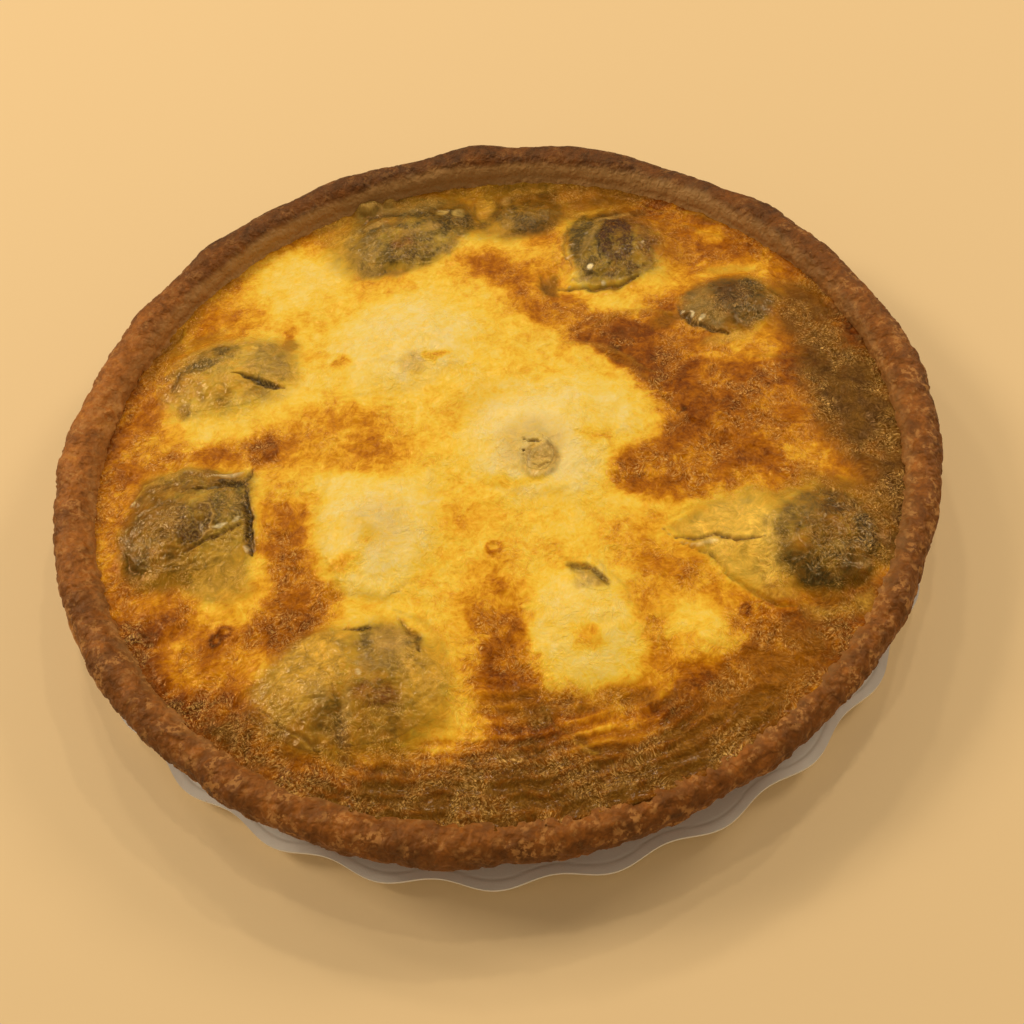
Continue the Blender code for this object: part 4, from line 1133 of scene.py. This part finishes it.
def makeTray(material):
    look = trayPiece
    count = look["scallops"] * look["stepsPerScallop"]
    angles = look["firstNotch"] + math.tau * np.arange(count) / count
    middle, wave = (look["lobeRadius"] + look["notchRadius"]) / 2, (look["lobeRadius"] - look["notchRadius"]) / 2
    edge = middle - wave * np.cos(look["scallops"] * (angles - look["firstNotch"]))
    level = np.ones(count)
    card, flatRadius = look["card"], look["flatRadius"]
    farFromEdge = 20

    # rings as radius, height and distance from the edge
    def flat(radius, z):
        return [radius * level, z * level, farFromEdge * level]

    def flare(lift, inset):
        made = []
        for share in np.linspace(0, 1, look["flareRows"]):
            radius = (look["bendRadius"] - inset) * (1 - share) + edge * share
            z = (look["bendRise"] + lift) * (1 - share) + (look["edgeZ"] - card + lift) * share
            made.append([radius, z * level, edge - radius])
        return made

    under = [flat(flatRadius * look["middleShare"], 0.0), flat(flatRadius, 0.0)] + flare(0.0, 0.0)
    over = flare(card, card / 2)[::-1]
    over += [flat(flatRadius - card / 2, card), flat(flatRadius * look["middleShare"], card)]
    rows = under + over
    radius, z, fromEdge = (np.stack(values).ravel() for values in zip(*rows))
    angle = np.tile(angles, len(rows))
    places = roundPoints(radius, angle, z)
    top = np.repeat([False, True], [len(under) * count, len(over) * count])
    band = look["bandWidth"] + look["bandNoise"] * noise(places, 12, 71)
    lines = bell((fromEdge - band) / look["lineWidth"])
    crimp = rise(band - fromEdge, 0, 0.4) * noise(places, 1.6, 74)
    warp = look["warp"] * noise(places, 30, 77) * rise(radius, 95, 104)
    relief = np.where(top, look["crimp"] * crimp - look["lineDepth"] * lines, 0) * (fromEdge < farFromEdge)
    z = z + warp + relief
    mesh = newMesh(
        "scalloped_tray",
        np.vstack([roundPoints(radius, angle, z), [(0, 0, 0), (0, 0, card)]]),
        closedRings(len(rows), count),
    )
    mesh.set_sharp_from_angle(angle=look["sharp"])
    storeValues(mesh, "band", rise(band - fromEdge, -0.1, 0.3), 0.0)
    storeValues(mesh, "line", np.clip(lines, 0, 1), 0.0)
    addPiece(mesh, material, "card_tray")


# Materials


# Gives a socket its value, or a link where the value is another socket
def feed(tree, socket, value):
    if isinstance(value, bpy.types.NodeSocket):
        tree.links.new(value, socket)
    else:
        socket.default_value = value


def addNode(tree, kind, inputs=None, **settings):
    node = tree.nodes.new(kind)
    for name, value in settings.items():
        setattr(node, name, value)
    for name, value in (inputs or {}).items():
        feed(tree, node.inputs[name], value)
    return node


def maths(tree, operation, a, b=0.0, clamp=False):
    return addNode(tree, "ShaderNodeMath", {0: a, 1: b}, operation=operation, use_clamp=clamp).outputs[0]


# A value, and a share of another one added to it
def plus(tree, base, value, share, clamp=False):
    return maths(tree, "ADD", base, maths(tree, "MULTIPLY", value, share), clamp)


def mapRange(tree, value, low, high, **settings):
    inputs = {"Value": value, "From Min": low, "From Max": high}
    return addNode(tree, "ShaderNodeMapRange", inputs, **settings).outputs[0]


def mixColour(tree, factor, a, b, blend="MIX"):
    node = addNode(tree, "ShaderNodeMix", data_type="RGBA", blend_type=blend)
    for index, value in ((0, factor), (6, a), (7, b)):
        feed(tree, node.inputs[index], (*screen(*value), 1) if isinstance(value, tuple) else value)
    return node.outputs[2]


def noiseNode(tree, place, scale, detail, distortion=0.0, roughness=0.6):
    return addNode(tree, "ShaderNodeTexNoise", {"Vector": place, "Scale": scale, "Detail": detail,
                                                "Roughness": roughness, "Distortion": distortion}).outputs["Fac"]


def attribute(tree, name, output="Fac"):
    return addNode(tree, "ShaderNodeAttribute", attribute_type="GEOMETRY", attribute_name=name).outputs[output]


def placeGroup(tree, group, **inputs):
    node = addNode(tree, "ShaderNodeGroup", node_tree=group)
    for name, value in inputs.items():
        feed(tree, node.inputs[name.replace("_", " ")], value)
    return node.outputs


# A group with its named sockets: inputs as (name, kind, value) and outputs as (name, kind)
def newGroup(name, inputs, outputs):
    tree = bpy.data.node_groups.new(name, "ShaderNodeTree")
    for socket, kind, value in inputs:
        made = tree.interface.new_socket(socket, in_out="INPUT", socket_type=kind)
        made.default_value = value
    for socket, kind in outputs:
        tree.interface.new_socket(socket, in_out="OUTPUT", socket_type=kind)
    return tree, tree.nodes.new("NodeGroupInput").outputs, tree.nodes.new("NodeGroupOutput").inputs


number, paint, vector = "NodeSocketFloat", "NodeSocketColor", "NodeSocketVector"


# Grain of baked things: mottling and fine grain, both around 0, for colours, smooth bumps and strands
# around 0 for the relief, and small sparse strokes from 0 to 1, for painted glints in the colour and for relief
def makeGrainGroup():
    inputs = (("Place", vector, (0, 0, 0)), ("Mottle Size", number, 3.0), ("Grain Size", number, 0.6),
              ("Bump Size", number, 1.3), ("Glint Size", number, 0.75))
    outputs = (("Mottle", number), ("Grain", number), ("Bumps", number), ("Strands", number), ("Glints", number))
    tree, given, out = newGroup("bakedGrain", inputs, outputs)

    # a size in millimetres as a scale for places in metres
    def scaleOf(size):
        return maths(tree, "DIVIDE", 1000.0, size)

    def noiseAround(size, detail, distortion):
        return maths(tree, "SUBTRACT", noiseNode(tree, given["Place"], scaleOf(size), detail, distortion), 0.5)

    # short strokes that run one way
    def strokes(turn):
        turned = addNode(tree, "ShaderNodeMapping", {"Vector": given["Place"], "Rotation": (0, 0, turn),
                                                     "Scale": (1.8, 1, 1)}, vector_type="TEXTURE").outputs[0]
        strands = noiseNode(tree, turned, scaleOf(given["Glint Size"]), 2.0, 0.7)
        return maths(tree, "POWER", mapRange(tree, strands, 0.42, 0.8), 1.7)

    tree.links.new(noiseAround(given["Mottle Size"], 4.0, 0.8), out["Mottle"])
    tree.links.new(noiseAround(given["Grain Size"], 3.0, 0.0), out["Grain"])
    tree.links.new(noiseAround(given["Bump Size"], 1.0, 0.4), out["Bumps"])
    around = noiseAround(maths(tree, "MULTIPLY", given["Bump Size"], 2.4), 1.0, 1.8)
    tree.links.new(maths(tree, "SUBTRACT", 0.1, maths(tree, "ABSOLUTE", around)), out["Strands"])
    # the strokes run one way in some places, and another way in the rest
    chosen = mapRange(tree, noiseNode(tree, given["Place"], 420.0, 1.0, roughness=0.5), 0.44, 0.56)
    one = maths(tree, "MULTIPLY", strokes(0.5), chosen)
    other = maths(tree, "MULTIPLY", strokes(1.9), maths(tree, "SUBTRACT", 1.0, chosen))
    tree.links.new(maths(tree, "ADD", one, other), out["Glints"])
    return tree


# Blends a row of colours by a value from 0 to 1
def rampColour(tree, value, colours):
    ramp = addNode(tree, "ShaderNodeValToRGB", {"Fac": value})
    stops = ramp.color_ramp.elements
    for (at, colour), stop in itertools.zip_longest(colours, list(stops)):
        stop = stop or stops.new(at)
        stop.position = at
        stop.color = (*screen(*colour), 1)
    return ramp.outputs["Color"]


# What custard and oysters share
skinLook = {
    "mottleSize": 3.0, "grainSize": 0.8, "bumpSize": 1.1, "glintSize": 0.4,
    # the colour of the painted glints
    "glint": (255, 206, 122),
    "roughness": 0.24,
    "wet": 0.3,
    "shader": {
        "Specular IOR Level": 0.42, "Subsurface Weight": 0.2, "Subsurface Scale": 0.003, "Coat Roughness": 0.12,
    },
}


# Baked skin: browning as a colour, with the oysters' tint and painted glints over it, and a fine crinkled relief
def makeSkinGroup(grainGroup):
    look = skinLook
    inputs = (("Bake", number, 0.3), ("Tint", paint, (0.2, 0.2, 0.1, 1)), ("Tint Amount", number, 0.0),
              ("Crinkle", number, 0.5), ("Place", vector, (0, 0, 0)))
    tree, given, out = newGroup("bakedSkin", inputs, (("Color", paint), ("Roughness", number), ("Height", number)))
    grain = placeGroup(tree, grainGroup, Place=given["Place"], Mottle_Size=look["mottleSize"],
                       Grain_Size=look["grainSize"], Bump_Size=look["bumpSize"], Glint_Size=look["glintSize"])
    mottle, fine, crinkle = grain["Mottle"], grain["Grain"], given["Crinkle"]
    bake = plus(tree, plus(tree, given["Bake"], mottle, 0.4), fine, -0.3, clamp=True)
    colour = rampColour(tree, bake, bakeColours)
    shade = maths(tree, "ADD", 1.0, plus(tree, maths(tree, "MULTIPLY", mottle, 2.2), fine, 1.0))
    shadeColour = addNode(tree, "ShaderNodeCombineColor", {"Red": shade, "Green": shade, "Blue": shade}).outputs[0]
    tint = mixColour(tree, 1.0, given["Tint"], shadeColour, "MULTIPLY")
    amount = maths(tree, "MULTIPLY", given["Tint Amount"], plus(tree, 1.0, fine, 0.9), clamp=True)
    colour = mixColour(tree, amount, colour, tint)
    # painted golden glints in the colour, most of them where the skin is crinkled
    glints = maths(tree, "MULTIPLY", crinkle, plus(tree, 1.05, mottle, 3.2))
    glints = maths(tree, "MULTIPLY", grain["Glints"], glints, clamp=True)
    tree.links.new(mixColour(tree, glints, colour, look["glint"]), out["Color"])
    tree.links.new(plus(tree, plus(tree, look["roughness"], mottle, 0.2), crinkle, -0.1), out["Roughness"])
    height = plus(tree, plus(tree, grain["Bumps"], grain["Strands"], 1.3), grain["Glints"], 0.25)
    tree.links.new(maths(tree, "MULTIPLY", height, maths(tree, "ADD", 0.3, crinkle)), out["Height"])
    return tree


def newMaterial(name, constants):
    material = bpy.data.materials.new(name)
    material.use_nodes = True
    shader = material.node_tree.nodes["Principled BSDF"]
    for socket, value in constants.items():
        shader.inputs[socket].default_value = value
    return material, material.node_tree, shader


# Links colour, roughness and a bump of a depth in millimetres to a shader
def linkLook(tree, shader, colour, rough, height, depth):
    bump = addNode(tree, "ShaderNodeBump", {"Height": height, "Distance": depth * mm})
    tree.links.new(colour, shader.inputs["Base Color"])
    tree.links.new(rough, shader.inputs["Roughness"])
    tree.links.new(bump.outputs["Normal"], shader.inputs["Normal"])


def skinMaterial(name, skinGroup, subsurfaceRadius, specularTint, bumpDepth):
    constants = {**skinLook["shader"], "Subsurface Radius": subsurfaceRadius, "Specular Tint": (*specularTint, 1.0)}
    material, tree, shader = newMaterial(name, constants)
    skin = placeGroup(tree, skinGroup, Bake=attribute(tree, "bake"), Tint=attribute(tree, "tint", "Color"),
                      Tint_Amount=attribute(tree, "tintAmount"), Crinkle=attribute(tree, "crinkle"),
                      Place=attribute(tree, "flow", "Vector"))
    linkLook(tree, shader, skin["Color"], skin["Roughness"], skin["Height"], bumpDepth)
    coat = maths(tree, "MULTIPLY", attribute(tree, "wet"), skinLook["wet"])
    tree.links.new(coat, shader.inputs["Coat Weight"])
    return material


# From pale to dark
crustColours = ((0.0, (208, 146, 66)), (0.3, (170, 102, 34)), (0.6, (122, 68, 14)), (1.0, (72, 36, 5)))
crustPaint = {"fleck": (196, 138, 76), "greased": (186, 142, 88), "drip": (190, 118, 34)}


def crustMaterial(grainGroup):
    material, tree, shader = newMaterial("bakedPastry", {
        "Specular IOR Level": 0.4, "Subsurface Weight": 0.05, "Subsurface Scale": 0.002,
        "Specular Tint": (1.0, 0.84, 0.6, 1.0),
    })
    place = addNode(tree, "ShaderNodeTexCoord").outputs["Object"]
    grain = placeGroup(tree, grainGroup, Place=place, Mottle_Size=4.5, Grain_Size=1.1, Bump_Size=1.6)
    mottle, fine, drip = grain["Mottle"], grain["Grain"], attribute(tree, "drip")
    toast = plus(tree, plus(tree, attribute(tree, "toast"), mottle, 0.9), fine, 0.5, clamp=True)
    colour = rampColour(tree, toast, crustColours)
    fleck = mapRange(tree, fine, -0.06, 0.06, interpolation_type="SMOOTHSTEP")
    fleck = maths(tree, "MULTIPLY", maths(tree, "MULTIPLY", attribute(tree, "fleck"), fleck), 0.68)
    colour = mixColour(tree, fleck, colour, crustPaint["fleck"])
    greased = maths(tree, "MULTIPLY", attribute(tree, "greased"), 0.8)
    colour = mixColour(tree, greased, colour, crustPaint["greased"])
    colour = mixColour(tree, drip, colour, crustPaint["drip"])
    rough = plus(tree, plus(tree, 0.55, drip, -0.3), fine, 0.4)
    height = maths(tree, "ADD", maths(tree, "MULTIPLY", mottle, 0.6), grain["Bumps"])
    linkLook(tree, shader, colour, rough, height, 0.6)
    return material


cardPaint = {"card": (242, 243, 244), "band": (248, 248, 248), "line": (176, 164, 150), "shade": (214, 204, 190)}


def cardMaterial(grainGroup):
    material, tree, shader = newMaterial("coatedCard", {"Specular IOR Level": 0.35})
    place = addNode(tree, "ShaderNodeTexCoord").outputs["Object"]
    grain = placeGroup(tree, grainGroup, Place=place, Mottle_Size=9.0, Grain_Size=0.35)
    # the lip band is painted a little lighter, as painted light on the lip
    colour = mixColour(tree, attribute(tree, "band"), cardPaint["card"], cardPaint["band"])
    # painted shade along the embossed groove
    line = maths(tree, "MULTIPLY", attribute(tree, "line"), 0.5)
    colour = mixColour(tree, line, colour, cardPaint["line"])
    shade = plus(tree, 0.06, grain["Mottle"], 0.2, clamp=True)
    colour = mixColour(tree, shade, colour, cardPaint["shade"])
    linkLook(tree, shader, colour, plus(tree, 0.5, grain["Grain"], 0.2), grain["Grain"], 0.04)
    return material


grainGroup = makeGrainGroup()
skinGroup = makeSkinGroup(grainGroup)
makeCustard(skinMaterial("bakedCustard", skinGroup, (1.0, 0.6, 0.25), (1.0, 0.5, 0.1), 0.36))
print("custard made")
oysterMaterial = skinMaterial("oysterFlesh", skinGroup, (0.9, 0.7, 0.4), (1.0, 0.72, 0.36), 0.32)
for node, oyster in oysters.items():
    makeOyster(node, oyster, oysterMaterial)
print("oysters made")
makeCrust(crustMaterial(grainGroup))
print("crust made")
makeTray(cardMaterial(grainGroup))
print("tray made")

# Table, light and camera
studio = {
    "floorColour": (240, 214, 172),
    "floorHalf": 1.5,
    "light": (1.0, 0.83, 0.58),
    # place, size and power of each soft light
    "lights": {
        "softLeft": ((-0.95, 0.4, 0.85), 0.34, 5.6),
        "softRight": ((0.95, 0.45, 0.8), 0.3, 3.6),
        "glintBack": ((-0.08, 0.85, 0.95), 0.08, 1.3),
        "glintLeft": ((-0.55, 0.7, 0.9), 0.12, 1.1),
        "glintRight": ((0.4, 0.62, 1.0), 0.04, 1.1),
        "glintFront": ((0.05, 0.42, 1.2), 0.05, 1.1),
    },
    "worldColour": (1.0, 0.81, 0.54),
    "worldStrength": 0.38,
}

floorMesh = bpy.data.meshes.new("floor")
half = studio["floorHalf"]
floorMesh.from_pydata([(-half, -half, 0), (half, -half, 0), (half, half, 0), (-half, half, 0)], [], [(0, 1, 2, 3)])
floor = addObject("floor", floorMesh)
floorMaterial, _, floorShader = newMaterial("paleTable", {
    "Roughness": 0.6, "Specular IOR Level": 0.3, "Base Color": (*screen(*studio["floorColour"]), 1),
})
floorMesh.materials.append(floorMaterial)

for name, (place, size, power) in studio["lights"].items():
    lamp = bpy.data.lights.new(name, "AREA")
    lamp.energy, lamp.size, lamp.color = power, size, studio["light"]
    light = addObject(name, lamp)
    light.location = place
    light.rotation_mode = "QUATERNION"
    light.rotation_quaternion = Vector(place).to_track_quat("Z", "Y")

world = bpy.data.worlds.new("studio")
world.use_nodes = True
background = world.node_tree.nodes["Background"]
background.inputs["Color"].default_value = (*studio["worldColour"], 1)
background.inputs["Strength"].default_value = studio["worldStrength"]
bpy.context.scene.world = world
bpy.context.scene.view_settings.view_transform = "Standard"

view = {
    "elevation": 55.3, "roll": -8.31, "distance": 0.23203, "target": (0.0032, -0.02834, 0.0218),
    "lens": 36, "sensor": 36, "clipStart": 0.01,
}

elevation, roll = math.radians(view["elevation"]), math.radians(view["roll"])
forward = Vector((0, math.cos(elevation), -math.sin(elevation)))
level = Vector((1, 0, 0))
upward = level.cross(forward)
right = level * math.cos(roll) + upward * math.sin(roll)
up = upward * math.cos(roll) - level * math.sin(roll)
lens = bpy.data.cameras.new("camera")
lens.sensor_width, lens.lens, lens.clip_start = view["sensor"], view["lens"], view["clipStart"]
camera = addObject("camera", lens)
turned = Matrix((right, up, -forward)).transposed().to_4x4()
camera.matrix_world = Matrix.Translation(Vector(view["target"]) - forward * view["distance"]) @ turned
bpy.context.scene.camera = camera
print("studio made")
